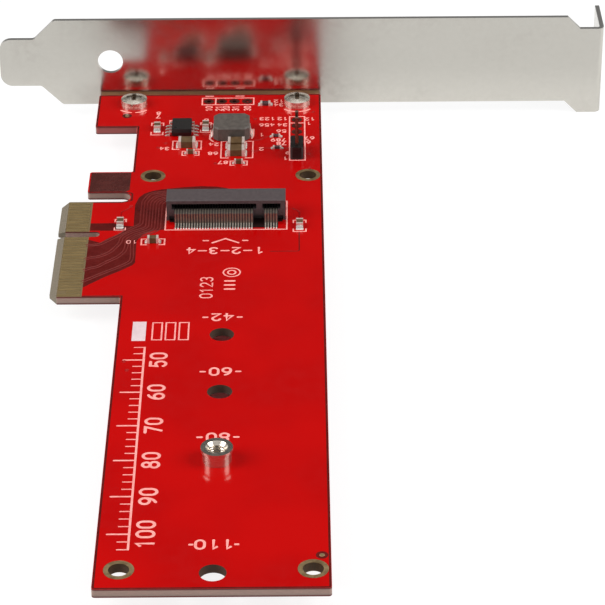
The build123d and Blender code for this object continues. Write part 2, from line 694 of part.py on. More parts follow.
def chip(x, y, size, turned=False):
    """A chip part's body and its two end caps, standing on the board."""
    length, width, height, cap = size
    skin = CHIP_PLATING
    body = block(x - length / 2 + skin, x + length / 2 - skin, y - width / 2 + skin, y + width / 2 - skin,
                 TOP_Z + skin, TOP_Z + height - skin)
    ends = []
    for side in (-1, 1):
        xs = sorted((x + side * length / 2, x + side * (length / 2 - cap)))
        end = block(xs[0], xs[1], y - width / 2, y + width / 2, TOP_Z, TOP_Z + height)
        ends.append(end - body)
    if turned:
        spin = Pos(x, y) * Rot(0, 0, 90) * Pos(-x, -y)
        return spin * body, [spin * end for end in ends]
    return body, ends


def from_bracket(place):
    """A place given by its X and its distance back from the bracket."""
    return place[0], BRACKET_FROM_KEY - place[1]


def from_module_edge(place):
    """A place given by its X and its distance back from the module's edge."""
    return place[0], MODULE_EDGE_Y - place[1]


def large_capacitors():
    """Three large capacitors: one before the regulator, two before the inductor."""
    x, y = from_bracket(OUTPUT_CAPACITOR)
    return [
        chip(*from_bracket(INPUT_CAPACITOR), LARGE_CHIP),
        chip(x, y, LARGE_CHIP),
        chip(x, y - OUTPUT_CAPACITOR_PITCH, LARGE_CHIP),
    ]


def small_capacitors():
    """The small capacitors round the regulator and beside the socket."""
    along_bracket = [chip(*from_bracket(place), SMALL_CHIP) for place in SMALL_CAPACITORS]
    across = [chip(*from_bracket(place), MIDDLE_CHIP, turned=True) for place in MIDDLE_CAPACITORS_ALONG_Y]
    beside = [chip(*from_module_edge(place), MIDDLE_CHIP) for place in SOCKET_CAPACITORS_ALONG_X]
    ends = [chip(*from_module_edge(place), MIDDLE_CHIP, turned=True) for place in SOCKET_CAPACITORS_ALONG_Y]
    return along_bracket + across + beside + ends


def resistors():
    """The chip resistors near the bracket and the header."""
    middle = [chip(*from_bracket(place), MIDDLE_RESISTOR) for place in MIDDLE_RESISTORS]
    return middle + [chip(*from_bracket(place), SMALL_RESISTOR) for place in SMALL_RESISTORS]


# The pin header

def header_block():
    """The header's plastic strip, waisted between its pins."""
    cells = []
    side = Rectangle(PIN_PITCH, PIN_PITCH)
    side = chamfer(side.vertices(), HEADER_BEVEL)
    for x, y in header_pins():
        cells.append(extrude(Pos(x, y, TOP_Z) * side, HEADER_HEIGHT))
    strip_body = join(cells)
    for x, y in header_pins():
        strip_body = strip_body - pin_shape(x, y, TOP_Z, TOP_Z + HEADER_HEIGHT)
    return strip_body


def pin_shape(x, y, z0, z1):
    """A square pin between two levels."""
    half = PIN_WIDTH / 2
    return block(x - half, x + half, y - half, y + half, z0, z1)


def header_pin(x, y):
    """A square pin with eased ends, through the strip and the board."""
    pin = pin_shape(x, y, UNDER_Z - PIN_TAIL, TOP_Z + HEADER_HEIGHT + PIN_RISE)
    ends = pin.faces().sort_by(Axis.Z)
    return chamfer(ends[0].edges() + ends[-1].edges(), PIN_TIP)


def header_solder(x, y):
    """The solder cone round a pin under the board."""
    cone = Pos(x, y, UNDER_Z - SOLDER_H / 2) * Cone(SOLDER_TOP_R, SOLDER_R, SOLDER_H)
    return cone - pin_shape(x, y, UNDER_Z - SOLDER_H, UNDER_Z)


def write(node, shape):
    """Write one node's solids to its file."""
    export_step(shape, f"parts/{node}.step")


def main():
    """Build every node and write it."""
    os.makedirs("parts", exist_ok=True)
    write("circuit_board", board())
    write("edge_contacts_upper", edge_contacts(1))
    write("edge_contacts_lower", edge_contacts(-1))
    write("mounting_hole_plating", group([plated_hole(x, y) for x, y in mount_holes()]))
    write("bracket", bracket())
    write("bracket_screws", group([bracket_screw(x) for x in SCREW_X]))
    write("m2_socket_housing", socket_housing())
    lower = [lower_spring(position_x(n)) for n in socket_positions(LOWER_START_NUMBER)]
    upper = [upper_spring(position_x(n)) for n in socket_positions(UPPER_START_NUMBER)]
    write("m2_lower_contacts", group(lower))
    write("m2_upper_contacts", group(upper))
    write("m2_hold_downs", group([hold_down(side) for side in (-1, 1)]))
    write("standoff", standoff())
    write("standoff_nut", standoff_nut())
    write("regulator_body", regulator_body())
    leads = [regulator_lead(side, index) for side in (-1, 1) for index in range(REGULATOR_LEAD_COUNT)]
    write("regulator_leads", group(leads))
    write("inductor_core", inductor_core())
    write("inductor_terminals", group([inductor_strip(side) for side in (-1, 1)]))
    chip_sets = (
        ("large_capacitor", large_capacitors()),
        ("small_capacitor", small_capacitors()),
        ("resistor", resistors()),
    )
    for name, chips in chip_sets:
        write(f"{name}_bodies", group([body for body, ends in chips]))
        write(f"{name}_terminals", group([end for body, ends in chips for end in ends]))
    write("header_block", header_block())
    write("header_pins", group([header_pin(x, y) for x, y in header_pins()]))
    write("header_solder", group([header_solder(x, y) for x, y in header_pins()]))


main()
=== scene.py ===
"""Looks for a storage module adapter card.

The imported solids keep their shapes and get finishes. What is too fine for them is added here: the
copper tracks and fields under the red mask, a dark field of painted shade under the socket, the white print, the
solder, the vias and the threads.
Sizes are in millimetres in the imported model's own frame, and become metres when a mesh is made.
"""

import logging
import math
from collections.abc import Iterable, Sequence
from dataclasses import dataclass
from enum import Enum

import bmesh
import bpy
import numpy as np
from mathutils import Matrix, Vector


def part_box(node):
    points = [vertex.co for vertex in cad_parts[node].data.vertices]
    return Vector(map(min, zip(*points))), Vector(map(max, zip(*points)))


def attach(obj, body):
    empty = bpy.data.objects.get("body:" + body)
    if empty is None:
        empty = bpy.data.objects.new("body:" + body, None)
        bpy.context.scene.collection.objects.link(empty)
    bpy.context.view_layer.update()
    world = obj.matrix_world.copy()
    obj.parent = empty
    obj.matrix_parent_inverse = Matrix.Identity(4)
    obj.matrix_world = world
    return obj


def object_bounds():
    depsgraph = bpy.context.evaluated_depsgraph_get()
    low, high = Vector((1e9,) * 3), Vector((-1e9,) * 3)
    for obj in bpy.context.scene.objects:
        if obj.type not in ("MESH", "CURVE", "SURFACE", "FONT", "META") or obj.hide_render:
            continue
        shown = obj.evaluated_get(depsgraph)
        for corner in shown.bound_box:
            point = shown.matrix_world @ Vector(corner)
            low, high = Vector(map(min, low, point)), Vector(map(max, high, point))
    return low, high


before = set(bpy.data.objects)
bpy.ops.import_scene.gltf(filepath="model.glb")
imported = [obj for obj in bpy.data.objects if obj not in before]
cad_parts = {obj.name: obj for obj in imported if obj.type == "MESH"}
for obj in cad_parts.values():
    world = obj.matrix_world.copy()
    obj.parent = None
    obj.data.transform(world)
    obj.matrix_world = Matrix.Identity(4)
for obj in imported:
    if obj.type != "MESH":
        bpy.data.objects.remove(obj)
CAD_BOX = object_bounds()

Rgb = tuple[float, float, float]
Point = tuple[float, float]
Span = tuple[float, float]
Line = Sequence[Point]

LOG = logging.getLogger("adapter_card")
BODY = "root"
MM = 0.001
SAME_PLACE = 1e-7  # Points nearer than this, in metres, are merged.
NO_LENGTH = 1e-8  # Edges shorter than this, in metres, are dropped.
CREASE = 40  # An edge that bends by more than this, in degrees, is sharp.
HALF_BOARD = 0.785
SCREW_PLACES = ((11.51, 52.0), (43.86, 52.0))


class Slot(Enum):
    """The names of material slots, which some calls pass along with an added piece."""

    BOARD = "board"
    RINGS = "plated_rings"
    SCREWS = "screw_steel"
    STANDOFF = "standoff_metal"
    SOLDER = "solder"


class Side(Enum):
    """The two faces of the board."""

    TOP = 1
    UNDER = -1


class Ray(Enum):
    """The kinds of ray that the backdrop answers, by the Light Path output's name."""

    CAMERA = "Is Camera Ray"
    GLOSSY = "Is Glossy Ray"
    TRANSMISSION = "Is Transmission Ray"


def linear(red: int, green: int, blue: int) -> Rgb:
    """Turn a colour as a screen shows it, 0 to 255, into linear light.

    Args:
        red: The red part.
        green: The green part.
        blue: The blue part.

    Returns:
        The three linear parts, 0 to 1.
    """
    parts = [value / 255 for value in (red, green, blue)]
    return tuple(v / 12.92 if v <= 0.04045 else ((v + 0.055) / 1.055) ** 2.4 for v in parts)


# Surfaces

@dataclass
class Surface:
    """Points in millimetres and the faces that join them.

    Attributes:
        points: An array of n rows of X, Y, Z.
        faces: Arrays of point numbers, each with one face in a row.
    """

    points: np.ndarray
    faces: list[np.ndarray]


def gather(parts: list[Surface]) -> Surface:
    """Join several surfaces into one mesh's worth of points and faces.

    Args:
        parts: The surfaces to join.

    Returns:
        One surface that holds them all, still as separate shells.
    """
    starts = np.cumsum([0] + [len(part.points) for part in parts[:-1]])
    points = np.concatenate([part.points for part in parts])
    faces = [face + start for part, start in zip(parts, starts) for face in part.faces]
    return Surface(points, faces)


def grid_quads(rows: int, columns: int, close_rows: bool, close_columns: bool) -> np.ndarray:
    """Quads that join the points of a grid.

    Args:
        rows: How many rows the grid has.
        columns: How many points a row has.
        close_rows: Whether the last row joins the first.
        close_columns: Whether a row's last point joins its first.

    Returns:
        One quad in each row, as four point numbers.
    """
    r = np.arange(rows if close_rows else rows - 1)[:, None]
    c = np.arange(columns if close_columns else columns - 1)[None, :]
    r_next = (r + 1) % rows
    c_next = (c + 1) % columns
    corners = [r * columns + c, r_next * columns + c, r_next * columns + c_next, r * columns + c_next]
    return np.stack([corner.ravel() for corner in corners], axis=1)


def round_corners(points: Line, radius: float, steps: int = 5) -> np.ndarray:
    """Round the inner corners of an open line.

    Each corner is cut back by the radius, less on short runs, and a quadratic curve through the
    corner joins the two cuts: (1-t)^2 a + 2t(1-t) corner + t^2 b.

    Args:
        points: The line's corners.
        radius: How far from the corner the curve starts.
        steps: How many runs the curve has.

    Returns:
        The rounded line's points.
    """
    line = np.array(points, float)
    if len(line) < 3:
        return line
    run = np.diff(line, axis=0)
    length = np.linalg.norm(run, axis=1)
    unit = run / length[:, None]
    cut = np.minimum(radius, 0.45 * np.minimum(length[:-1], length[1:]))[:, None]
    corner = line[1:-1]
    start = corner - unit[:-1] * cut
    end = corner + unit[1:] * cut
    t = np.linspace(0, 1, steps + 1)[None, :, None]
    curve = (1 - t) ** 2 * start[:, None] + 2 * t * (1 - t) * corner[:, None] + t ** 2 * end[:, None]
    return np.concatenate([line[:1], curve.reshape(-1, 2), line[-1:]])


def arc(cx: float, cy: float, rx: float, ry: float, start: float, end: float, steps: int = 14) -> np.ndarray:
    """Points along an ellipse's arc: centre plus (rx cos a, ry sin a).

    Args:
        cx: The centre's X.
        cy: The centre's Y.
        rx: The half width.
        ry: The half height.
        start: The first angle, in degrees.
        end: The last angle, in degrees.
        steps: How many runs the arc has.

    Returns:
        The arc's points.
    """
    a = np.radians(np.linspace(start, end, steps + 1))
    return np.stack([cx + rx * np.cos(a), cy + ry * np.sin(a)], axis=1)


def stroke(path: np.ndarray, width: float, height: float, base: float, closed: bool = False) -> Surface:
    """A line of ink or copper with a low crown and round ends.

    Along the path the section is (w/2 cos t, h sin t) for t from 0 to half a turn, closed flat
    underneath. Past each end of an open path, w and h shrink along a quarter circle to a point.

    Args:
        path: The middle line's points.
        width: The line's width.
        height: The crown's height above the base, negative under the board.
        base: The level that the line lies on.
        closed: Whether the path runs back to its start.

    Returns:
        The closed surface.
    """
    if closed:
        before = path - np.roll(path, 1, axis=0)
        after = np.roll(path, -1, axis=0) - path
    else:
        runs = np.diff(path, axis=0)
        before = np.concatenate([runs[:1], runs])
        after = np.concatenate([runs, runs[-1:]])
    before = before / np.linalg.norm(before, axis=1)[:, None]
    after = after / np.linalg.norm(after, axis=1)[:, None]
    mitre = before + after
    mitre = mitre / np.maximum((mitre * before).sum(axis=1), 0.6)[:, None]
    side = np.stack([-mitre[:, 1], mitre[:, 0]], axis=1)
    scale = np.ones(len(path))
    if not closed:
        u = np.linspace(0, math.pi / 2, 4)[1:]
        reach = width / 2 * np.sin(u)
        head = path[0] - before[0] * reach[::-1, None]
        tail = path[-1] + after[-1] * reach[:, None]
        path = np.concatenate([head, path, tail])
        side = np.concatenate([np.repeat(side[:1], 3, axis=0), side, np.repeat(side[-1:], 3, axis=0)])
        scale = np.concatenate([np.cos(u)[::-1], scale, np.cos(u)])
    t = np.linspace(0, math.pi, 5)
    across = width / 2 * np.cos(t)[None, :] * scale[:, None]
    up = base + height * np.sin(t)[None, :] * scale[:, None]
    xy = path[:, None, :] + side[:, None, :] * across[:, :, None]
    points = np.concatenate([xy, up[:, :, None]], axis=2).reshape(-1, 3)
    return Surface(points, [grid_quads(len(path), 5, closed, True)])


def plate(outline: np.ndarray, low: float, high: float) -> Surface:
    """A flat plate: the outline at two levels, joined round its edge.

    Args:
        outline: The outline's points, in order.
        low: The lower level.
        high: The upper level.

    Returns:
        The closed surface.
    """
    count = len(outline)
    levels = [np.concatenate([outline, np.full((count, 1), z)], axis=1) for z in (low, high)]
    caps = [np.arange(count)[None, :], np.arange(count, 2 * count)[None, :]]
    return Surface(np.concatenate(levels), [grid_quads(2, count, False, True)] + caps)


def turned(centre: Point, profile: np.ndarray, segments: int = 28, closed: bool = False) -> Surface:
    """A turned shape: each profile point (r, z) is carried round the upright axis.

    Args:
        centre: The axis's X and Y.
        profile: The radius and level of each point.
        segments: How many steps one turn has.
        closed: Whether the profile's last point joins its first, as round a ring.

    Returns:
        The surface, closed where the profile starts and ends on the axis or is closed.
    """
    a = np.linspace(0, 2 * math.pi, segments, endpoint=False)[:, None]
    r, z = profile[:, 0][None, :], profile[:, 1][None, :]
    points = np.stack([centre[0] + r * np.cos(a), centre[1] + r * np.sin(a), z + 0 * a], axis=2)
    return Surface(points.reshape(-1, 3), [grid_quads(segments, len(profile), True, closed)])


def ring(centre: Point, inner: float, outer: float, low: float, high: float) -> Surface:
    """A flat ring: a rectangle of (r, z) carried round the upright axis.

    Args:
        centre: The ring's X and Y.
        inner: The hole's radius.
        outer: The rim's radius.
        low: The lower level.
        high: The upper level.

    Returns:
        The closed surface.
    """
    profile = np.array([(inner, low), (outer, low), (outer, high), (inner, high)])
    return turned(centre, profile, closed=True)


def helix_ridge(centre: Point, radius: float, reach: float, pitch: float, low: float, high: float) -> Surface:
    """A thread's ridge: a triangle carried along the helix (r cos a, r sin a, pitch a / turn).

    The triangle stands on the given radius and reaches in or out. It fades in and out over the
    first and last half turn, so that both ends close in a point.

    Args:
        centre: The axis's X and Y.
        radius: The radius that the ridge stands on.
        reach: How far the ridge stands out, negative for an inner thread.
        pitch: The rise of one turn.
        low: The lowest level.
        high: The highest level.

    Returns:
        The closed surface.
    """
    turns = (high - low - pitch) / pitch
    a = np.linspace(0, 2 * math.pi * turns, max(12, int(turns * 22)))
    fade = np.clip(np.minimum(a, a[-1] - a) / math.pi, 0, 1)[:, None]
    radial = radius + reach * np.array([-0.15, 1.0, -0.15])[None, :] * fade
    lift = low + pitch / 2 + pitch * (a / (2 * math.pi))[:, None]
    level = lift + pitch * 0.42 * np.array([-1.0, 0.0, 1.0])[None, :] * fade
    x = centre[0] + radial * np.cos(a)[:, None]
    y = centre[1] + radial * np.sin(a)[:, None]
    return Surface(np.stack([x, y, level], axis=2).reshape(-1, 3), [grid_quads(len(a), 3, False, True)])


def solder_wedge(foot: Point, direction: Point, width: float, rise: float, run: float, base: float) -> Surface:
    """A concave solder fillet that runs from a metal end down to its pad.

    At a distance u out from the end and v across, its height is rise (1-u)^2 (1 - 0.2 v^2), and its
    half width grows a little towards the pad.

    Args:
        foot: Where the fillet's middle meets the metal end.
        direction: The unit direction out from the end.
        width: The end's width.
        rise: The height against the end.
        run: How far the fillet reaches out.
        base: The board's level.

    Returns:
        The closed surface.
    """
    u = np.linspace(0, 1, 6)[:, None]
    v = np.linspace(-1, 1, 7)[None, :]
    height = base + rise * (1 - u) ** 2 * (1 - 0.2 * v ** 2) + 0.02 * (1 - u)
    half = width / 2 * (1 + 0.12 * u) + 0 * v
    x = foot[0] + direction[0] * run * u * (1 - 0.25 * v ** 4) - direction[1] * half * v
    y = foot[1] + direction[1] * run * u * (1 - 0.25 * v ** 4) + direction[0] * half * v
    top = np.stack([x, y, height], axis=2).reshape(-1, 3)
    under = top.copy()
    under[:, 2] = base - 0.01
    quads = grid_quads(6, 7, False, False)
    count = len(top)
    edge = np.concatenate([np.arange(7), np.arange(13, 42, 7), np.arange(40, 34, -1), np.arange(28, 0, -7)])
    wall = np.stack([edge, np.roll(edge, -1), np.roll(edge, -1) + count, edge + count], axis=1)
    return Surface(np.concatenate([top, under]), [quads, quads + count, wall])


def islands(node: str) -> list[tuple[np.ndarray, np.ndarray]]:
    """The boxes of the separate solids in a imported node, in millimetres.

    Points at one place share a number, and each triangle hands its lowest number to its corners
    until nothing changes.

    Args:
        node: The node's name.

    Returns:
        The lowest and highest corner of each solid.
    """
    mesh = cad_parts[node].data
    points = np.empty(len(mesh.vertices) * 3)
    mesh.vertices.foreach_get("co", points)
    points = points.reshape(-1, 3) / MM
    corners = np.empty(len(mesh.loops), int)
    mesh.loops.foreach_get("vertex_index", corners)
    place = np.unique(np.round(points, 4), axis=0, return_inverse=True)[1].ravel()
    triangles = place[corners].reshape(-1, 3)
    label = np.arange(place.max() + 1)
    while True:
        least = label[triangles].min(axis=1)
        fresh = label.copy()
        np.minimum.at(fresh, triangles.ravel(), np.repeat(least, 3))
        if np.array_equal(fresh, label):
            break
        label = fresh
    owner = label[place]
    return [(points[owner == k].min(axis=0), points[owner == k].max(axis=0)) for k in np.unique(owner)]


def make_piece(name: str, surface: Surface, material: bpy.types.Material) -> None:
    """Make a mesh object that rides on the card.

    Args:
        name: The piece's name.
        surface: Its points and faces, in millimetres.
        material: Its finish.
    """
    mesh = bpy.data.meshes.new(name)
    mesh.from_pydata((surface.points * MM).tolist(), [], [f.tolist() for block in surface.faces for f in block])
    work = bmesh.new()
    work.from_mesh(mesh)
    bmesh.ops.remove_doubles(work, verts=work.verts, dist=SAME_PLACE)
    bmesh.ops.dissolve_degenerate(work, edges=work.edges, dist=NO_LENGTH)
    bmesh.ops.recalc_face_normals(work, faces=work.faces)
    work.to_mesh(mesh)
    work.free()
    mesh.polygons.foreach_set("use_smooth", np.ones(len(mesh.polygons), bool))
    mesh.set_sharp_from_angle(angle=math.radians(CREASE))
    mesh.materials.append(material)
    piece = bpy.data.objects.new(name, mesh)
    bpy.context.scene.collection.objects.link(piece)
    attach(piece, BODY)
    LOG.info("piece %s: %d points, %d faces", name, len(mesh.vertices), len(mesh.polygons))


# Node graphs

Socket = bpy.types.NodeSocket
Value = float | Rgb | Socket


class Graph:
    """Adds and joins the nodes of one tree."""

    COLUMNS = 8
    SPACING = (190, 260)

    def __init__(self, tree: bpy.types.NodeTree) -> None:
        """Start on an empty tree."""
        self.tree = tree
        self.count = 0

    def node(self, kind: str, **settings: object) -> bpy.types.Node:
        """Add a node.

        Args:
            kind: The node's type.
            **settings: Its properties.

        Returns:
            The node.
        """
        node = self.tree.nodes.new(kind)
        node.location = (self.count % self.COLUMNS * self.SPACING[0], -(self.count // self.COLUMNS) * self.SPACING[1])
        self.count += 1
        for key, value in settings.items():
            setattr(node, key, value)
        return node

    def put(self, socket: Socket, value: Value) -> None:
        """Feed a socket from another socket, or set its constant.

        Args:
            socket: The socket to feed.
            value: A socket, a number or a colour.
        """
        if isinstance(value, Socket):
            self.tree.links.new(value, socket)
        elif socket.type == "RGBA":
            socket.default_value = (*value, 1.0)
        else:
            socket.default_value = value

    def fill(self, node: bpy.types.Node, values: dict[int | str, Value], output: int | str = 0) -> Socket:
        """Feed several of a node's inputs.

        Args:
            node: The node.
            values: The values by the input's number or name.
            output: The number or name of the output that is wanted.

        Returns:
            That output's socket.
        """
        for key, value in values.items():
            self.put(node.inputs[key], value)
        return node.outputs[output]

    def math(self, operation: str, first: Value, second: Value = 0.0) -> Socket:
        """The result of one sum on two values, by the sum's name."""
        return self.fill(self.node("ShaderNodeMath", operation=operation), {0: first, 1: second})

    def product(self, first: Value, *others: Value) -> Socket:
        """Multiply values in turn.

        Args:
            first: The first value.
            *others: The values that it is multiplied by.

        Returns:
            The product's socket.
        """
        for value in others:
            first = self.math("MULTIPLY", first, value)
        return first

    def between(self, value: Value, low: float, high: float) -> Socket:
        """1 where a value lies between two limits, else 0."""
        return self.product(self.math("GREATER_THAN", value, low), self.math("LESS_THAN", value, high))

    def step(self, value: Value, low: float, high: float) -> Socket:
        """Rise smoothly from 0 to 1 as a value goes from low to high, or fall where low is above high."""
        node = self.node("ShaderNodeMapRange", interpolation_type="SMOOTHSTEP")
        return self.fill(node, {"Value": value, "From Min": low, "From Max": high}, "Result")

    def mix(self, factor: Value, first: Value, second: Value) -> Socket:
        """Mix two colours: a factor of 0 gives the first and 1 the second."""
        node = self.node("ShaderNodeMix", data_type="RGBA", clamp_factor=True)
        return self.fill(node, {0: factor, 6: first, 7: second}, 2)

    def blend(self, factor: Value, first: Value, second: Value) -> Socket:
        """Mix two numbers: a factor of 0 gives the first and 1 the second."""
        node = self.node("ShaderNodeMix", data_type="FLOAT", clamp_factor=True)
        return self.fill(node, {0: factor, 2: first, 3: second})

    def noise(self, vector: Socket, scale: Value, detail: float = 3.0) -> Socket:
        """Soft noise about 0.5, with a number of features per millimetre and of finer layers."""
        node = self.node("ShaderNodeTexNoise", noise_dimensions="3D")
        return self.fill(node, {"Vector": vector, "Scale": scale, "Detail": detail})

    def place(self, stretch: Rgb = (1.0, 1.0, 1.0)) -> Socket:
        """The object's own coordinates in millimetres.

        Args:
            stretch: A factor on each axis, which draws a pattern out where it is small.

        Returns:
            The vector's socket.
        """
        own = self.node("ShaderNodeTexCoord").outputs["Object"]
        mapping = self.node("ShaderNodeMapping", vector_type="POINT")
        return self.fill(mapping, {"Scale": tuple(s / MM for s in stretch), "Vector": own}, "Vector")

    def axes(self, vector: Socket) -> tuple[Socket, ...]:
        """Split a vector.

        Args:
            vector: The vector.

        Returns:
            The sockets of its X, Y and Z.
        """
        node = self.node("ShaderNodeSeparateXYZ")
        self.put(node.inputs[0], vector)
        return tuple(node.outputs)

    def bump(self, height: Value, depth: float) -> Socket:
        """Turn a height from 0 to 1 into a bent normal, a height of 1 being a depth in millimetres."""
        return self.fill(self.node("ShaderNodeBump"), {"Distance": depth * MM, "Height": height}, "Normal")

    def group(self, tree: bpy.types.NodeTree, vector: Socket, scale: float) -> bpy.types.NodeOutputs:
        """Place a shared group.

        Args:
            tree: The group's tree.
            vector: Where its noise is read.
            scale: Its features per millimetre.

        Returns:
            The group's outputs.
        """
        node = self.node("ShaderNodeGroup", node_tree=tree)
        self.fill(node, {"Vector": vector, "Scale": scale})
        return node.outputs


class MaterialGraph(Graph):
    """The graph of one new material, which ends in a Principled shader."""

    def __init__(self, name: str) -> None:
        """Start the material.

        Args:
            name: The material's name.
        """
        self.material = bpy.data.materials.new(name)
        self.material.use_nodes = True
        self.material.node_tree.nodes.clear()
        super().__init__(self.material.node_tree)
        self.output = self.node("ShaderNodeOutputMaterial")
        self.shader = self.node("ShaderNodeBsdfPrincipled")
        self.put(self.output.inputs["Surface"], self.shader.outputs["BSDF"])

    def feed(self, colour: Value, roughness: Value, normal: Value, metallic: Value = 0.0) -> bpy.types.Material:
        """Feed the shader.

        Args:
            colour: The base colour.
            roughness: The roughness.
            normal: The bent normal.
            metallic: 1 for metal.

        Returns:
            The finished material.
        """
        self.fill(self.shader, {"Base Color": colour, "Roughness": roughness, "Normal": normal, "Metallic": metallic},
                  "BSDF")
        return self.material


class SharedEffects:
    """The node groups that several finishes use."""

    def __init__(self) -> None:
        """Build each group once."""
        self.grain = self._grain()
        self.handling = self._handling()
        self.rolling = self._rolling()

    @staticmethod
    def _start(name: str, outputs: list[str]) -> tuple[Graph, Socket, Socket, dict[str, Socket]]:
        """Make an empty group that takes a vector and a scale.

        Args:
            name: The group's name.
            outputs: The names of the number outputs.

        Returns:
            The graph, the vector, the scale, and the sockets that take the outputs, by name.
        """
        tree = bpy.data.node_groups.new(name, "ShaderNodeTree")
        sockets = [("Vector", "INPUT", "NodeSocketVector"), ("Scale", "INPUT", "NodeSocketFloat")]
        for label, way, kind in sockets + [(label, "OUTPUT", "NodeSocketFloat") for label in outputs]:
            tree.interface.new_socket(name=label, in_out=way, socket_type=kind)
        graph = Graph(tree)
        given = graph.node("NodeGroupInput").outputs
        leave = graph.node("NodeGroupOutput").inputs
        return graph, given["Vector"], given["Scale"], {label: leave[label] for label in outputs}

    def _grain(self) -> bpy.types.NodeTree:
        """Fine moulded or cast grain: a tone that drifts and a height for the bump.

        Returns:
            The group's tree.
        """
        graph, vector, scale, result = self._start("fine_grain", ["Tone", "Height"])
        broad = graph.noise(vector, graph.product(scale, 0.23), 2.0)
        fine = graph.noise(vector, scale, 4.0)
        graph.put(result["Tone"], graph.step(graph.blend(0.4, broad, fine), 0.3, 0.7))
        graph.put(result["Height"], graph.blend(0.2, fine, broad))
        return graph.tree

    def _handling(self) -> bpy.types.NodeTree:
        """Faint marks of handling: soft patches that are duller than the rest.

        Returns:
            The group's tree.
        """
        graph, vector, scale, result = self._start("handling_marks", ["Mask"])
        patches = graph.step(graph.noise(vector, scale, 2.0), 0.42, 0.7)
        specks = graph.step(graph.noise(vector, graph.product(scale, 9.0)), 0.35, 0.65)
        graph.put(result["Mask"], graph.product(patches, specks))
        return graph.tree

    def _rolling(self) -> bpy.types.NodeTree:
        """The long faint lines of rolled or turned metal, read on stretched coordinates.

        Returns:
            The group's tree.
        """
        graph, vector, scale, result = self._start("rolled_lines", ["Height"])
        coarse = graph.noise(vector, scale, 2.0)
        fine = graph.noise(vector, graph.product(scale, 5.0), 2.0)
        graph.put(result["Height"], graph.blend(0.5, coarse, fine))
        return graph.tree


# Finishes

@dataclass(frozen=True)
class GrainedFinish:
    """A finish whose tone, roughness and bump follow a fine grain.

    Attributes:
        name: The material's name.
        light: The lighter tone.
        dark: The darker tone.
        smooth: The lowest roughness.
        rough: The highest roughness.
        metallic: 1 for metal.
        scale: Grain features per millimetre.
        depth: The bump's depth, in millimetres.
        stretch: A factor on each axis, small along drawn-out lines.
        marks: The scale of the handling marks, as a share of the grain's.
    """

    name: str
    light: Rgb
    dark: Rgb
    smooth: float
    rough: float
    metallic: float = 0.0
    scale: float = 4.0
    depth: float = 0.01
    stretch: Rgb = (1.0, 1.0, 1.0)
    marks: float = 0.06

    def build(self, shared: SharedEffects) -> bpy.types.Material:
        """Make the material.

        Args:
            shared: The shared node groups.

        Returns:
            The material.
        """
        graph = MaterialGraph(self.name)
        grain = graph.group(shared.grain, graph.place(self.stretch), self.scale)
        marks = graph.group(shared.handling, graph.place(), self.scale * self.marks)
        spread = graph.blend(0.5, grain["Tone"], marks["Mask"])
        return graph.feed(graph.mix(grain["Tone"], self.dark, self.light),
                          graph.blend(spread, self.smooth, self.rough),
                          graph.bump(grain["Height"], self.depth), self.metallic)


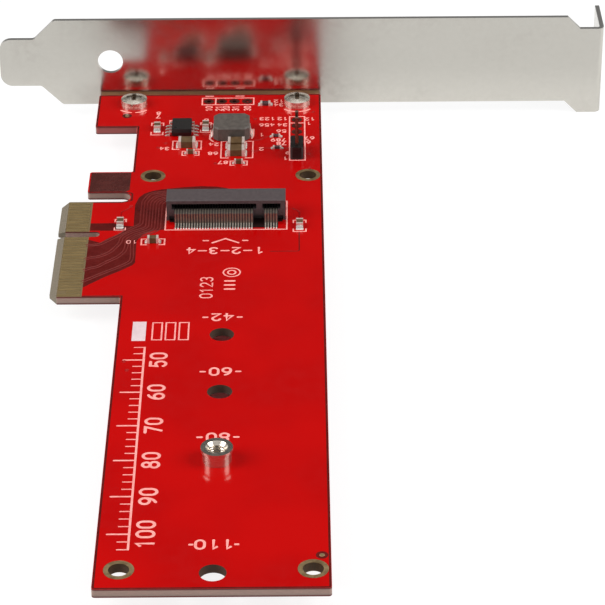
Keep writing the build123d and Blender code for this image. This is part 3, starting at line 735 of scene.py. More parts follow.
@dataclass(frozen=True)
class MaskFinish:
    """Glossy solder mask over the board, with bare laminate at the connector and on the edges. The cut edges carry
    painted shade low down and on the module holes' walls, and painted light at the far end.

    Attributes:
        name: The material's name.
        over_copper: The mask's colour over the copper pour.
        drift: The colour that the mask drifts to in soft patches.
        laminate: The cut edge's colour.
        laminate_low: The colour of the laminate's fibres, and of the painted shade on the cut edge near the underside.
        stained: The colour of the cut edge at the cut-out by the bracket, under a run of mask.
        rim: The colour of the mask's edge where it ends at the cut.
        bare: The laminate's colour between the gold contacts.
        bevel: The ground bevel's colour.
        far_end: The cut edge's colour at the bracket, lightened as painted light, since it is seen only as a
            reflection.
        hole_wall: The colour of the walls of the module holes, darkened as painted shade.
        lowest: The colour of the painted shade along the cut edge's lowest line.
        bare_x: How far the bare zone reaches in from the tip.
        bare_y: The bare zone's lowest and highest Y.
        bevel_x: How far the bevel reaches in from the tip.
        end_y: Where the far end's edge, with its painted light, starts.
        stained_y: The lowest and highest Y of the cut-out's stained edge.
        hole_x: The lowest and highest X of the module holes' zone.
        hole_y: The lowest and highest Y of the module holes' zone.
        gloss: The mask's lowest and highest roughness.
        cut_rough: The roughness of bare laminate.
    """

    name: str = "red_solder_mask"
    over_copper: Rgb = linear(191, 4, 3)
    drift: Rgb = linear(180, 2, 2)
    laminate: Rgb = linear(164, 133, 122)
    laminate_low: Rgb = linear(140, 122, 112)
    stained: Rgb = linear(150, 74, 70)
    rim: Rgb = linear(96, 28, 24)
    bare: Rgb = linear(112, 94, 62)
    bevel: Rgb = linear(118, 110, 92)
    # The next three colours are painted light at the far end, and painted shade on the hole walls and the lowest line.
    far_end: Rgb = linear(236, 180, 140)
    hole_wall: Rgb = linear(72, 50, 36)
    lowest: Rgb = linear(84, 74, 66)
    bare_x: float = 5.75
    bare_y: Span = (-22.6, 12.6)
    bevel_x: float = 1.32
    end_y: float = 56.0
    stained_y: Span = (42.2, 42.5)
    hole_x: Span = (27.86, 33.46)
    hole_y: Span = (-106.0, -30.0)
    gloss: Span = (0.15, 0.22)
    cut_rough: float = 0.62

    def cut_edge(self, graph: Graph, fibre: Socket, places: tuple[Socket, ...]) -> Socket:
        """The colour of the cut edges, laid over each other zone by zone; the darkening low down, the lowest line and
        the hole walls are painted shade, and the far end is painted light.

        Args:
            graph: The material's graph.
            fibre: The mask of the laminate's fibres.
            places: The X, Y and Z.

        Returns:
            The colour's socket.
        """
        x, y, z = places
        ground = graph.mix(graph.product(fibre, 0.4), self.bevel, self.laminate_low)
        # Painted shade: the cut edge darkens towards the underside.
        cut = graph.mix(graph.step(z, -0.1, -0.5), self.laminate, self.laminate_low)
        for zone, colour in (
            (graph.product(fibre, 0.5), self.laminate_low),
            # Painted shade: the lowest line of the cut edge.
            (graph.step(z, -0.6, -0.7), self.lowest),
            # Painted light: the far end, seen only in the bracket's reflection, is made lighter.
            (graph.step(y, self.end_y, self.end_y + 0.08), self.far_end),
            (graph.between(y, *self.stained_y), self.stained),
            (graph.step(graph.math("ABSOLUTE", z), 0.44, 0.62), self.rim),
            (graph.math("LESS_THAN", x, self.bevel_x), ground),
            # Painted shade: the walls of the module holes.
            (graph.product(graph.between(x, *self.hole_x), graph.between(y, *self.hole_y)), self.hole_wall),
        ):
            cut = graph.mix(zone, cut, colour)
        return cut

    def build(self, shared: SharedEffects) -> bpy.types.Material:
        """Make the material.

        Args:
            shared: The shared node groups.

        Returns:
            The material.
        """
        graph = MaterialGraph(self.name)
        vector = graph.place()
        x, y, z = graph.axes(vector)
        face = graph.math("GREATER_THAN", graph.math("ABSOLUTE", z), HALF_BOARD - 0.002)
        bare = graph.product(graph.math("LESS_THAN", x, self.bare_x), graph.between(y, *self.bare_y))
        broad = graph.step(graph.noise(vector, 0.05, 2.0), 0.35, 0.65)
        fibre = graph.step(graph.noise(graph.place((1.0, 1.0, 5.0)), 1.8), 0.3, 0.7)
        top = graph.mix(bare, graph.mix(broad, self.over_copper, self.drift), self.bare)
        masked = graph.product(face, graph.math("SUBTRACT", 1.0, bare))
        marks = graph.group(shared.handling, vector, 0.05)
        rough_cut = graph.product(graph.math("SUBTRACT", 1.0, face), fibre)
        height = graph.math("ADD", graph.product(graph.noise(vector, 1.1, 2.0), 0.35), rough_cut)
        return graph.feed(graph.mix(face, self.cut_edge(graph, fibre, (x, y, z)), top),
                          graph.blend(masked, self.cut_rough, graph.blend(marks["Mask"], *self.gloss)),
                          graph.bump(height, 0.012))


@dataclass(frozen=True)
class PlatedHoleFinish:
    """Dull tinned rings whose hole walls are darkened with painted shade.

    Attributes:
        name: The material's name.
        ring: The ring's colour.
        worn: The ring's darker patches.
        lining: The colour of the hole's wall plating, darkened as painted shade.
    """

    name: str = "plated_hole"
    ring: Rgb = linear(176, 152, 112)
    worn: Rgb = linear(140, 116, 80)
    lining: Rgb = linear(74, 54, 32)

    def build(self, shared: SharedEffects) -> bpy.types.Material:
        """Make the material.

        Args:
            shared: The shared node groups.

        Returns:
            The material.
        """
        graph = MaterialGraph(self.name)
        vector = graph.place()
        face = graph.math("GREATER_THAN", graph.math("ABSOLUTE", graph.axes(vector)[2]), HALF_BOARD - 0.01)
        grain = graph.group(shared.grain, vector, 3.0)
        ring = graph.mix(grain["Tone"], self.worn, self.ring)
        # Painted shade: the hole walls take the dark colour.
        return graph.feed(graph.mix(face, self.lining, ring), graph.blend(grain["Tone"], 0.42, 0.58),
                          graph.bump(grain["Height"], 0.008), graph.blend(face, 0.4, 0.8))


@dataclass(frozen=True)
class SteelFinish:
    """The bracket's rolled and plated sheet.

    Attributes:
        name: The material's name.
        light: The plating's colour.
        dark: The colour of the duller patches.
        torn: The colour of the sheared edges, which face up and down.
        rolled: The lowest and highest roughness of the sheet.
        sheared: The roughness of the sheared edges.
        plate_y: Beyond this Y is the plate, and before it are the lugs.
    """

    name: str = "plated_bracket_sheet"
    light: Rgb = linear(208, 205, 197)
    dark: Rgb = linear(199, 195, 187)
    torn: Rgb = linear(166, 164, 160)
    rolled: Span = (0.16, 0.23)
    sheared: float = 0.5
    plate_y: float = 57.0

    def build(self, shared: SharedEffects) -> bpy.types.Material:
        """Make the material.

        Args:
            shared: The shared node groups.

        Returns:
            The material.
        """
        graph = MaterialGraph(self.name)
        vector = graph.place()
        marks = graph.group(shared.handling, vector, 0.07)
        lines = graph.group(shared.rolling, graph.place((0.03, 1.0, 1.0)), 1.6)
        grain = graph.group(shared.grain, vector, 5.0)
        tone = graph.blend(0.3, marks["Mask"], grain["Tone"])
        facing = graph.node("ShaderNodeTexCoord").outputs["Normal"]
        edge = graph.step(graph.math("ABSOLUTE", graph.axes(facing)[2]), 0.5, 0.9)
        rim = graph.product(edge, graph.math("GREATER_THAN", graph.axes(vector)[1], self.plate_y))
        return graph.feed(graph.mix(rim, graph.mix(tone, self.light, self.dark), self.torn),
                          graph.blend(edge, graph.blend(tone, *self.rolled), self.sheared),
                          graph.bump(graph.blend(0.3, lines["Height"], grain["Height"]), 0.004), 1.0)


@dataclass(frozen=True)
class ScrewFinish:
    """Bright plated screws whose cross recess is darkened with painted shade.

    Attributes:
        name: The material's name.
        plating: The plating's colour.
        worn: Its duller patches.
        shade: The colour of the painted shade in the recess.
        reach: The recess's radius.
        levels: The levels that the recess lies between.
    """

    name: str = "bright_screw_plating"
    plating: Rgb = linear(236, 228, 216)
    worn: Rgb = linear(198, 186, 172)
    shade: Rgb = linear(164, 148, 132)
    reach: float = 1.56
    levels: Span = (0.9, 2.44)

    def build(self, shared: SharedEffects) -> bpy.types.Material:
        """Make the material.

        The distance from the nearer screw's middle line, and the height, pick out the recess, where shade is painted.

        Args:
            shared: The shared node groups.

        Returns:
            The material.
        """
        graph = MaterialGraph(self.name)
        vector = graph.place()
        x, y, z = graph.axes(vector)
        (left, row), (right, _) = SCREW_PLACES
        aside = graph.math("ABSOLUTE", graph.math("SUBTRACT", x, (left + right) / 2))
        across = graph.math("SUBTRACT", aside, (right - left) / 2)
        along = graph.math("SUBTRACT", y, row)
        distance = graph.math("SQRT", graph.math("ADD", graph.product(across, across), graph.product(along, along)))
        low, high = self.levels
        # Painted shade: the recess, picked out by distance and height, takes the darker colour.
        deep = graph.product(graph.math("LESS_THAN", distance, self.reach), graph.math("GREATER_THAN", z, low),
                             graph.step(z, high, high - 0.3))
        grain = graph.group(shared.grain, vector, 5.0)
        plated = graph.mix(grain["Tone"], self.worn, self.plating)
        return graph.feed(graph.mix(deep, plated, self.shade), graph.blend(grain["Tone"], 0.18, 0.3),
                          graph.bump(grain["Height"], 0.004), 0.82)


@dataclass(frozen=True)
class SpringFinish:
    """Gold-flashed contact springs whose feet are tinned, darkened with painted shade far back in the slot.

    Attributes:
        name: The material's name.
        gold: The plating's colour.
        tin: The feet's colour.
        deep: The colour of the painted shade far back in the slot.
        foot_level: Below this level a spring is tinned.
        slot_y: The Y from which, and up to which, a spring takes the painted shade in the slot.
        slot_level: The levels over which the painted shade in the slot sets in.
    """

    name: str = "flashed_spring_metal"
    gold: Rgb = linear(160, 150, 134)
    tin: Rgb = linear(216, 208, 198)
    deep: Rgb = linear(26, 22, 20)
    foot_level: float = 1.15
    slot_y: Span = (4.9, 9.2)
    slot_level: Span = (1.6, 2.0)

    def build(self, shared: SharedEffects) -> bpy.types.Material:
        """Make the material.

        Args:
            shared: The shared node groups.

        Returns:
            The material.
        """
        graph = MaterialGraph(self.name)
        vector = graph.place()
        _, y, level = graph.axes(vector)
        mouth, back = self.slot_y
        # Painted shade: the springs turn dark past the slot's mouth, above the given level.
        slot_shade = graph.product(graph.step(y, mouth, mouth + 0.6), graph.math("LESS_THAN", y, back),
                               graph.step(level, *self.slot_level))
        grain = graph.group(shared.grain, vector, 9.0)
        edge = graph.math("ADD", level, graph.product(grain["Height"], 0.12))
        foot = graph.step(edge, self.foot_level + 0.1, self.foot_level)
        plated = graph.mix(grain["Tone"], tuple(0.8 * v for v in self.gold), self.gold)
        return graph.feed(graph.mix(slot_shade, graph.mix(foot, plated, self.tin), self.deep),
                          graph.blend(grain["Tone"], 0.34, 0.48), graph.bump(grain["Height"], 0.004), 0.75)


@dataclass(frozen=True)
class GoldPadFinish:
    """Thin gold on the edge contacts, rubbed along the way that the card is pushed in.

    Attributes:
        name: The material's name.
        gold: The plating's colour.
        rubbed: The colour of the rubbed lines.
    """

    name: str = "edge_contact_gold"
    gold: Rgb = linear(206, 180, 128)
    rubbed: Rgb = linear(196, 170, 118)

    def build(self, shared: SharedEffects) -> bpy.types.Material:
        """Make the material.

        Args:
            shared: The shared node groups.

        Returns:
            The material.
        """
        graph = MaterialGraph(self.name)
        lines = graph.group(shared.rolling, graph.place((0.12, 1.0, 1.0)), 3.0)
        marks = graph.group(shared.handling, graph.place(), 0.5)
        rub = graph.product(graph.step(lines["Height"], 0.45, 0.62), 0.8)
        worn = graph.math("ADD", rub, graph.product(marks["Mask"], 0.4))
        return graph.feed(graph.mix(rub, self.gold, self.rubbed), graph.blend(worn, 0.42, 0.56),
                          graph.bump(lines["Height"], 0.004), 1.0)


SPECIAL_FINISHES = (
    MaskFinish(), PlatedHoleFinish(), SteelFinish(), ScrewFinish(), SpringFinish(), GoldPadFinish(),
    # Pin rings; the third colour is painted shade on the hole walls.
    PlatedHoleFinish("dull_pin_ring", linear(110, 48, 38), linear(88, 34, 28), linear(52, 24, 20)),
)

PLAIN_FINISHES = (
    GrainedFinish("track_mask", linear(168, 6, 6), linear(150, 4, 4), 0.15, 0.24, scale=1.5, depth=0.006),
    GrainedFinish("bare_core_mask", linear(100, 24, 21), linear(84, 18, 16), 0.16, 0.26, scale=1.2, depth=0.006),
    # The next finish is painted shade, for the field under the socket's front.
    GrainedFinish("painted_foot_shade", linear(34, 14, 12), linear(26, 10, 9), 0.34, 0.46, scale=1.2, depth=0.006),
    GrainedFinish("guard_core_mask", linear(84, 38, 34), linear(68, 30, 27), 0.2, 0.3, scale=1.2, depth=0.006),
    GrainedFinish("fan_track_mask", linear(124, 44, 40), linear(106, 34, 31), 0.16, 0.26, scale=1.5, depth=0.006),
    GrainedFinish("pink_print", linear(252, 176, 168), linear(242, 150, 142), 0.5, 0.7, scale=3.0, depth=0.006),
    GrainedFinish("white_patch", linear(226, 204, 206), linear(214, 190, 193), 0.5, 0.7, scale=3.0, depth=0.006),
    GrainedFinish("socket_moulding", linear(84, 74, 75), linear(68, 60, 61), 0.42, 0.58, scale=7.0, depth=0.006),
    GrainedFinish("matt_tin", linear(238, 232, 224), linear(216, 208, 198), 0.34, 0.5, 0.7, 4.0, 0.006),
    GrainedFinish("turned_nickel", linear(232, 222, 210), linear(206, 196, 182), 0.2, 0.3, 0.94, 6.0, 0.004,
                  (0.4, 0.4, 3.0)),
    GrainedFinish("regulator_moulding", linear(27, 24, 23), linear(17, 15, 15), 0.4, 0.6, scale=9.0),
    GrainedFinish("ferrite_powder", linear(92, 85, 79), linear(72, 66, 61), 0.45, 0.65, scale=5.0, depth=0.02),
    GrainedFinish("fired_capacitor", linear(104, 80, 52), linear(80, 60, 38), 0.32, 0.5, scale=5.0, depth=0.008),
    GrainedFinish("glazed_resistor", linear(92, 66, 68), linear(60, 46, 50), 0.22, 0.38, scale=6.0, depth=0.006),
    GrainedFinish("dull_terminal", linear(240, 224, 216), linear(220, 200, 190), 0.34, 0.5, 0.5, 6.0),
    GrainedFinish("header_moulding", linear(20, 14, 13), linear(12, 9, 9), 0.36, 0.55, scale=6.0, depth=0.008),
    GrainedFinish("flashed_pin", linear(150, 126, 112), linear(120, 98, 86), 0.24, 0.36, 1.0, 6.0, 0.004,
                  (1.0, 1.0, 0.15)),
    GrainedFinish("bright_solder", linear(250, 244, 238), linear(236, 228, 220), 0.2, 0.36, 0.6, 3.0, 0.02),
)


class Finishes:
    """Every material of the card, by name, and the ways of putting them on."""

    def __init__(self) -> None:
        """Build the shared groups and then each finish."""
        shared = SharedEffects()
        self.by_name = {finish.name: finish.build(shared) for finish in SPECIAL_FINISHES + PLAIN_FINISHES}
        LOG.info("finishes: %s", ", ".join(self.by_name))

    def dress(self, finish: str, *nodes: str) -> None:
        """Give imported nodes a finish.

        Args:
            finish: The finish's name.
            *nodes: The nodes' names.
        """
        for node in nodes:
            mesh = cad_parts[node].data
            mesh.materials.clear()
            mesh.materials.append(self.by_name[finish])
            LOG.info("node %s: %s", node, finish)

    def add(self, name: str, surface: Surface, finish: str, slot: Slot = Slot.BOARD) -> None:
        """Make a piece with the finish of that name."""
        make_piece(name, surface, self.by_name[finish])


# The board's printed and etched features

@dataclass
class BoardLevels:
    """The levels of what lies on the board.

    Attributes:
        half: Half the board's thickness.
        sunk: How far a flat field reaches into the board.
        field: How far a dark field stands proud.
        track: How far a track's crown stands above the board.
        ink: How far the print's crown stands above the board.
    """

    half: float = HALF_BOARD
    sunk: float = 0.005
    field: float = 0.012
    track: float = 0.02
    ink: float = 0.03

    def flat(self, outline: Line, proud: float) -> Surface:
        """A flat field on the upper face, which stands proud by a given height."""
        return plate(np.array(outline), self.half - self.sunk, self.half + proud)

    def rounded(self, lines: Iterable[Line], corner: float, width: float, height: float) -> Surface:
        """Strokes with rounded corners, on the underside where their height is negative."""
        base = math.copysign(self.half, height)
        return gather([stroke(round_corners(line, corner), width, height, base) for line in lines])


@dataclass
class EtchedCopper:
    """The dark fields without copper, the tracks that cross them, the vias, and a dark field of painted shade under
    the socket's front.

    Attributes:
        levels: The levels on the board.
        pad_end: Where the edge contacts end.
        track_width: A signal track's width.
        track_rise: The height of a track's crown over a dark field.
        track_sunk: How far a track reaches into the field.
        pair_gap: The distance between the two tracks of a pair.
        margin: The width of the dark line where the copper stops short of the cut.
        inset: How far that line's middle lies from the cut.
        board_x: The board's lowest and highest X behind the edge contacts.
        board_y: The board's lowest and highest Y.
        tab_y: The lowest and highest Y of the tab with the edge contacts.
        cut_out: The corner of the cut-out by the bracket, X and Y.
        guard_y: The guard tab's lower edge, and where the line ends above the tab.
        fan_field: The outline of the field that the paired tracks cross.
        foot_field: The outline of the dark field of painted shade under the socket's front, round the feet of its
            lower contacts.
        guard_field: The outline of the copper-free guard tab.
        lanes: The middle line of each pair, from the edge contacts to the socket.
        under_rows: Where each pair leaves the lower edge contacts, Y.
        under_lane: The first pair's lane on the underside, X, and the distance to the next.
        under_end: Where the first pair ends on the underside, X and Y.
        under_bend: How far the pairs' slanted run reaches there.
        ridges: The tracks that show as low ridges under the mask near the parts.
        pour_parting: The line where two areas of copper pour part.
        vias_at: The centres of the covered vias, near the parts.
        via_section: The radius and height of each point round a via's low ring.
        pads_at: The centres of the bare test pads.
        pad_section: The radius and height of each point of a test pad's low dome.
    """

    levels: BoardLevels
    pad_end: float = 5.75
    track_width: float = 0.26
    track_rise: float = 0.018
    track_sunk: float = 0.004
    pair_gap: float = 0.56
    margin: float = 0.36
    inset: float = 0.23
    board_x: Span = (12.58, 48.56)
    board_y: Span = (-106.95, 56.1)
    tab_y: Span = (-22.15, 12.15)
    cut_out: Point = (4.36, 42.36)
    guard_y: Span = (15.87, 23.82)
    fan_field: Line = (
        (5.75, 4.05), (10.0, 4.05), (12.2, 3.0), (13.7, 2.9), (13.6, 10.9), (14.2, 13.8), (15.2, 15.3), (16.5, 16.2),
        (18.5, 16.9), (22.2, 17.6), (25.5, 18.0), (28.5, 17.8), (30.5, 17.2), (33.0, 15.7), (33.8, 14.4), (33.8, 12.2),
        (19.4, 12.2), (19.4, 1.6), (17.6, 1.2), (16.3, 0.6), (15.2, -0.9), (14.5, -2.6), (14.6, -10.3), (14.2, -11.2),
        (12.1, -13.2), (9.5, -15.3), (7.0, -17.7), (5.75, -19.0), (5.75, -2.0), (7.9, -3.1), (9.3, -1.5), (11.0, 0.0),
        (12.0, 1.2), (10.0, 1.3), (5.75, 1.35),
    )
    foot_field: Line = (
        (21.45, 2.1), (40.2, 2.1), (40.2, 4.3), (41.05, 4.3), (41.05, 6.0), (20.25, 6.0), (20.25, 4.3), (21.45, 4.3),
    )
    guard_field: Line = ((4.75, 16.15), (4.75, 23.5), (12.3, 23.5), (12.3, 16.7), (11.7, 16.15))
    lanes: tuple[Line, ...] = (
        ((5.5, -4.0), (7.7, -3.9), (9.2, -2.4), (11.1, -0.5), (13.0, 1.8), (15.1, 3.6), (15.1, 12.4), (16.3, 15.3),
         (19.3, 15.9), (22.6, 15.9), (23.4, 12.6)),
        ((5.5, -9.0), (6.2, -8.6), (8.2, -8.05), (9.9, -6.6), (10.9, -4.7), (11.6, -3.0), (11.7, -1.2), (13.2, 0.6),
         (16.2, 2.4), (16.2, 12.0), (17.3, 14.2), (19.6, 14.9), (25.2, 14.9), (26.0, 12.6)),
        ((5.5, -13.0), (6.6, -12.2), (7.9, -11.8), (9.1, -10.4), (11.4, -8.3), (12.5, -6.4), (12.8, -4.3),
         (12.7, -1.9), (14.2, -0.2), (17.3, 1.7), (17.3, 11.6), (18.2, 13.2), (19.9, 13.8), (28.0, 13.8),
         (28.8, 12.6)),
        ((5.5, -17.0), (6.6, -16.0), (9.5, -13.6), (12.0, -11.7), (13.8, -10.0), (13.95, -8.0), (13.8, -5.8),
         (13.7, -2.2), (15.1, -0.9), (18.4, 1.6), (18.4, 11.3), (19.0, 12.3), (20.0, 12.8), (31.0, 12.8)),
    )
    under_rows: tuple[float, ...] = (0.5, -6.0, -10.5, -14.5)
    under_lane: Span = (17.8, 1.25)
    under_end: Point = (24.0, 12.0)
    under_bend: float = 3.0
    ridges: tuple[Line, ...] = (
        ((39.3, 37.9), (38.0, 37.9), (36.5, 36.4), (35.6, 36.4)),
        ((40.7, 33.1), (42.2, 33.1), (43.1, 32.2)),
        ((38.6, 33.1), (37.2, 33.1), (36.0, 31.9), (34.3, 31.9)),
        ((36.5, 51.7), (35.4, 51.7), (33.9, 53.0)),
        ((18.3, 42.4), (17.6, 42.4), (16.9, 43.1), (16.5, 44.6)),
        ((18.3, 38.6), (17.7, 38.6), (16.9, 39.4)),
        ((11.2, 5.3), (11.2, 8.2), (12.9, 9.9)),
        ((44.15, 4.4), (44.15, 7.9), (42.9, 9.15)),
    )
    pour_parting: Line = ((44.05, 0.2), (44.05, -6.6), (38.8, -6.6))
    vias_at: Line = ((46.1, 30.6), (46.1, 24.9), (47.0, 48.2), (12.9, 10.3), (35.6, 45.3), (18.4, 35.4), (17.0, 33.6),
                     (28.2, 27.0), (14.3, -43.4), (14.9, -46.2))
    via_section: Line = ((0.12, -0.004), (0.16, 0.03), (0.26, 0.036), (0.36, 0.024), (0.4, -0.004))
    pads_at: Line = ((10.31, 47.05), (47.15, -98.69))
    pad_section: Line = ((0.0, 0.05), (0.25, 0.044), (0.42, 0.02), (0.45, -0.002), (0.0, -0.002))

    def fan_tracks(self) -> Surface:
        """The paired tracks from the edge contacts, round to the back of the socket.

        Each track of a pair is its lane's middle line, moved sideways by half the pair's gap.

        Returns:
            The tracks.
        """
        parts = []
        base = self.levels.half + self.levels.field - self.track_sunk
        for lane in self.lanes:
            line = round_corners(lane, 0.9)
            runs = np.gradient(line, axis=0)
            side = np.stack([-runs[:, 1], runs[:, 0]], axis=1) / np.linalg.norm(runs, axis=1)[:, None]
            for half in (-0.5, 0.5):
                parts.append(stroke(line + side * half * self.pair_gap, self.track_width, self.track_rise, base))
        return gather(parts)

    def pour_margin(self) -> Surface:
        """The dark line along the cut edges, where the copper stops short of the cut.

        Returns:
            The line round the board, and the two short ones beside the edge contacts.
        """
        inset = self.inset
        left, right = self.board_x[0] + inset, self.board_x[1] - inset
        near, far = self.board_y[0] + inset, self.board_y[1] - inset
        tab_low, tab_high = self.tab_y[0] + inset, self.tab_y[1] - inset
        corner_x, corner_y = self.cut_out[0] + inset, self.cut_out[1] + inset
        guard, start = self.guard_y[0] + inset, self.pad_end + 0.15
        around = [(left, tab_low), (left, near), (right, near), (right, far), (corner_x, far), (corner_x, corner_y),
                  (left, corner_y), (left, self.guard_y[1])]
        notch = [(start, tab_high), (11.0, tab_high), (12.9, 12.6), (12.9, 15.4), (11.0, guard), (4.9, guard)]
        return self.levels.rounded([around, [(start, tab_low), around[0]], notch], 0.4, self.margin,
                                   self.levels.field)

    def vias(self, side: Side) -> Surface:
        """The vias as low rings under the mask.

        Args:
            side: The board's face.

        Returns:
            The rings.
        """
        section = np.array(self.via_section)
        section[:, 1] = side.value * (self.levels.half + section[:, 1])
        return gather([turned(place, section, 16, closed=True) for place in self.vias_at])

    def test_pad_clearings(self) -> Surface:
        """The dark rings round the bare test pads."""
        top = self.levels.half
        return gather([ring(place, 0.4, 0.95, top - 0.004, top + 0.01) for place in self.pads_at])

    def test_pads(self) -> Surface:
        """The bare test pads, as low domes of tinned copper."""
        dome = np.array(self.pad_section) + np.array([0.0, self.levels.half])
        return gather([turned(place, dome, 20) for place in self.pads_at])

    def under_tracks(self) -> Surface:
        """The underside's paired tracks, from the lower edge contacts to the socket's row.

        Returns:
            The tracks.
        """
        paths = []
        (first, apart), (end_x, end_y), bend = self.under_lane, self.under_end, self.under_bend
        leave = self.pad_end + 1.25
        for rank, row in enumerate(self.under_rows):
            lane, y = first - apart * rank, end_y + rank
            for half in (-0.5, 0.5):
                shift = half * self.pair_gap
                paths.append([(self.pad_end - 0.3, row + half), (leave, row + shift),
                              (lane + shift, row + lane - leave), (lane + shift, y - bend + shift),
                              (lane + bend, y - shift), (end_x + 3.0 * rank, y - shift)])
        return self.levels.rounded(paths, 0.8, self.track_width, -self.levels.track)

    def dress(self, finishes: Finishes) -> None:
        """Make the pieces.

        Args:
            finishes: The card's materials.
        """
        levels = self.levels
        finishes.add("copper_free_fields", levels.flat(self.fan_field, levels.field), "bare_core_mask")
        # Painted shade: a dark field under the socket's front, round the feet of its lower contacts.
        finishes.add("socket_foot_shade", levels.flat(self.foot_field, levels.field), "painted_foot_shade")
        finishes.add("guard_tab_field", levels.flat(self.guard_field, levels.field), "guard_core_mask")
        finishes.add("fan_out_tracks", self.fan_tracks(), "fan_track_mask")
        finishes.add("pour_margin", self.pour_margin(), "bare_core_mask")
        finishes.add("pour_gaps", levels.rounded([self.pour_parting], 0.5, 0.2, 0.01), "bare_core_mask")
        finishes.add("test_pad_clearings", self.test_pad_clearings(), "bare_core_mask")
        finishes.add("test_pads", self.test_pads(), "plated_hole", Slot.RINGS)
        finishes.add("surface_tracks", levels.rounded(self.ridges, 0.4, 0.3, levels.track), "track_mask")
        finishes.add("vias_upper", self.vias(Side.TOP), "track_mask")
        finishes.add("vias_under", self.vias(Side.UNDER), "track_mask")
        finishes.add("under_tracks", self.under_tracks(), "track_mask")


class PlainDigits:
    """Plain stroked digits, drawn in a box 0.62 wide and 1 high."""

    WIDTH = 0.62
    SPACE = 0.34

    def strokes(self, digit: str) -> list[tuple[np.ndarray, bool]]:
        """The pen lines of a digit.

        Args:
            digit: One digit.

        Returns:
            Each line's points, and whether it closes.
        """
        w = self.WIDTH
        m = w / 2
        straight = np.array
        shapes = {
            "0": [(np.concatenate([arc(m, 0.66, m, 0.34, 0, 180), arc(m, 0.34, m, 0.34, 180, 360)]), True)],
            "1": [(straight([(0.1, 0.78), (m + 0.02, 1.0), (m + 0.02, 0.0)]), False)],
            "2": [(np.concatenate([arc(m, 0.71, m * 0.96, 0.29, 165, -38), straight([(0.0, 0.0), (w, 0.0)])]), False)],
            "3": [(arc(m, 0.75, m * 0.9, 0.25, 150, -90), False), (arc(m, 0.26, m, 0.26, 90, -150), False)],
            "4": [(straight([(0.46, 0.0), (0.46, 1.0), (0.0, 0.3), (w, 0.3)]), False)],
            "5": [(np.concatenate([straight([(0.56, 1.0), (0.08, 1.0), (0.04, 0.58)]),
                                   arc(m - 0.01, 0.33, m, 0.33, 125, -150)]), False)],
            "6": [(arc(m, 0.3, m, 0.3, 0, 360)[:-1], True), (arc(w, 0.32, w, 0.68, 108, 180), False)],
            "7": [(straight([(0.0, 1.0), (w, 1.0), (0.22, 0.0)]), False)],
            "8": [(arc(m, 0.76, m * 0.82, 0.24, 0, 360)[:-1], True), (arc(m, 0.27, m, 0.27, 0, 360)[:-1], True)],
            "9": [(arc(m, 0.7, m, 0.3, 0, 360)[:-1], True), (arc(0.0, 0.68, w, 0.68, -72, 0), False)],
        }
        return shapes[digit]


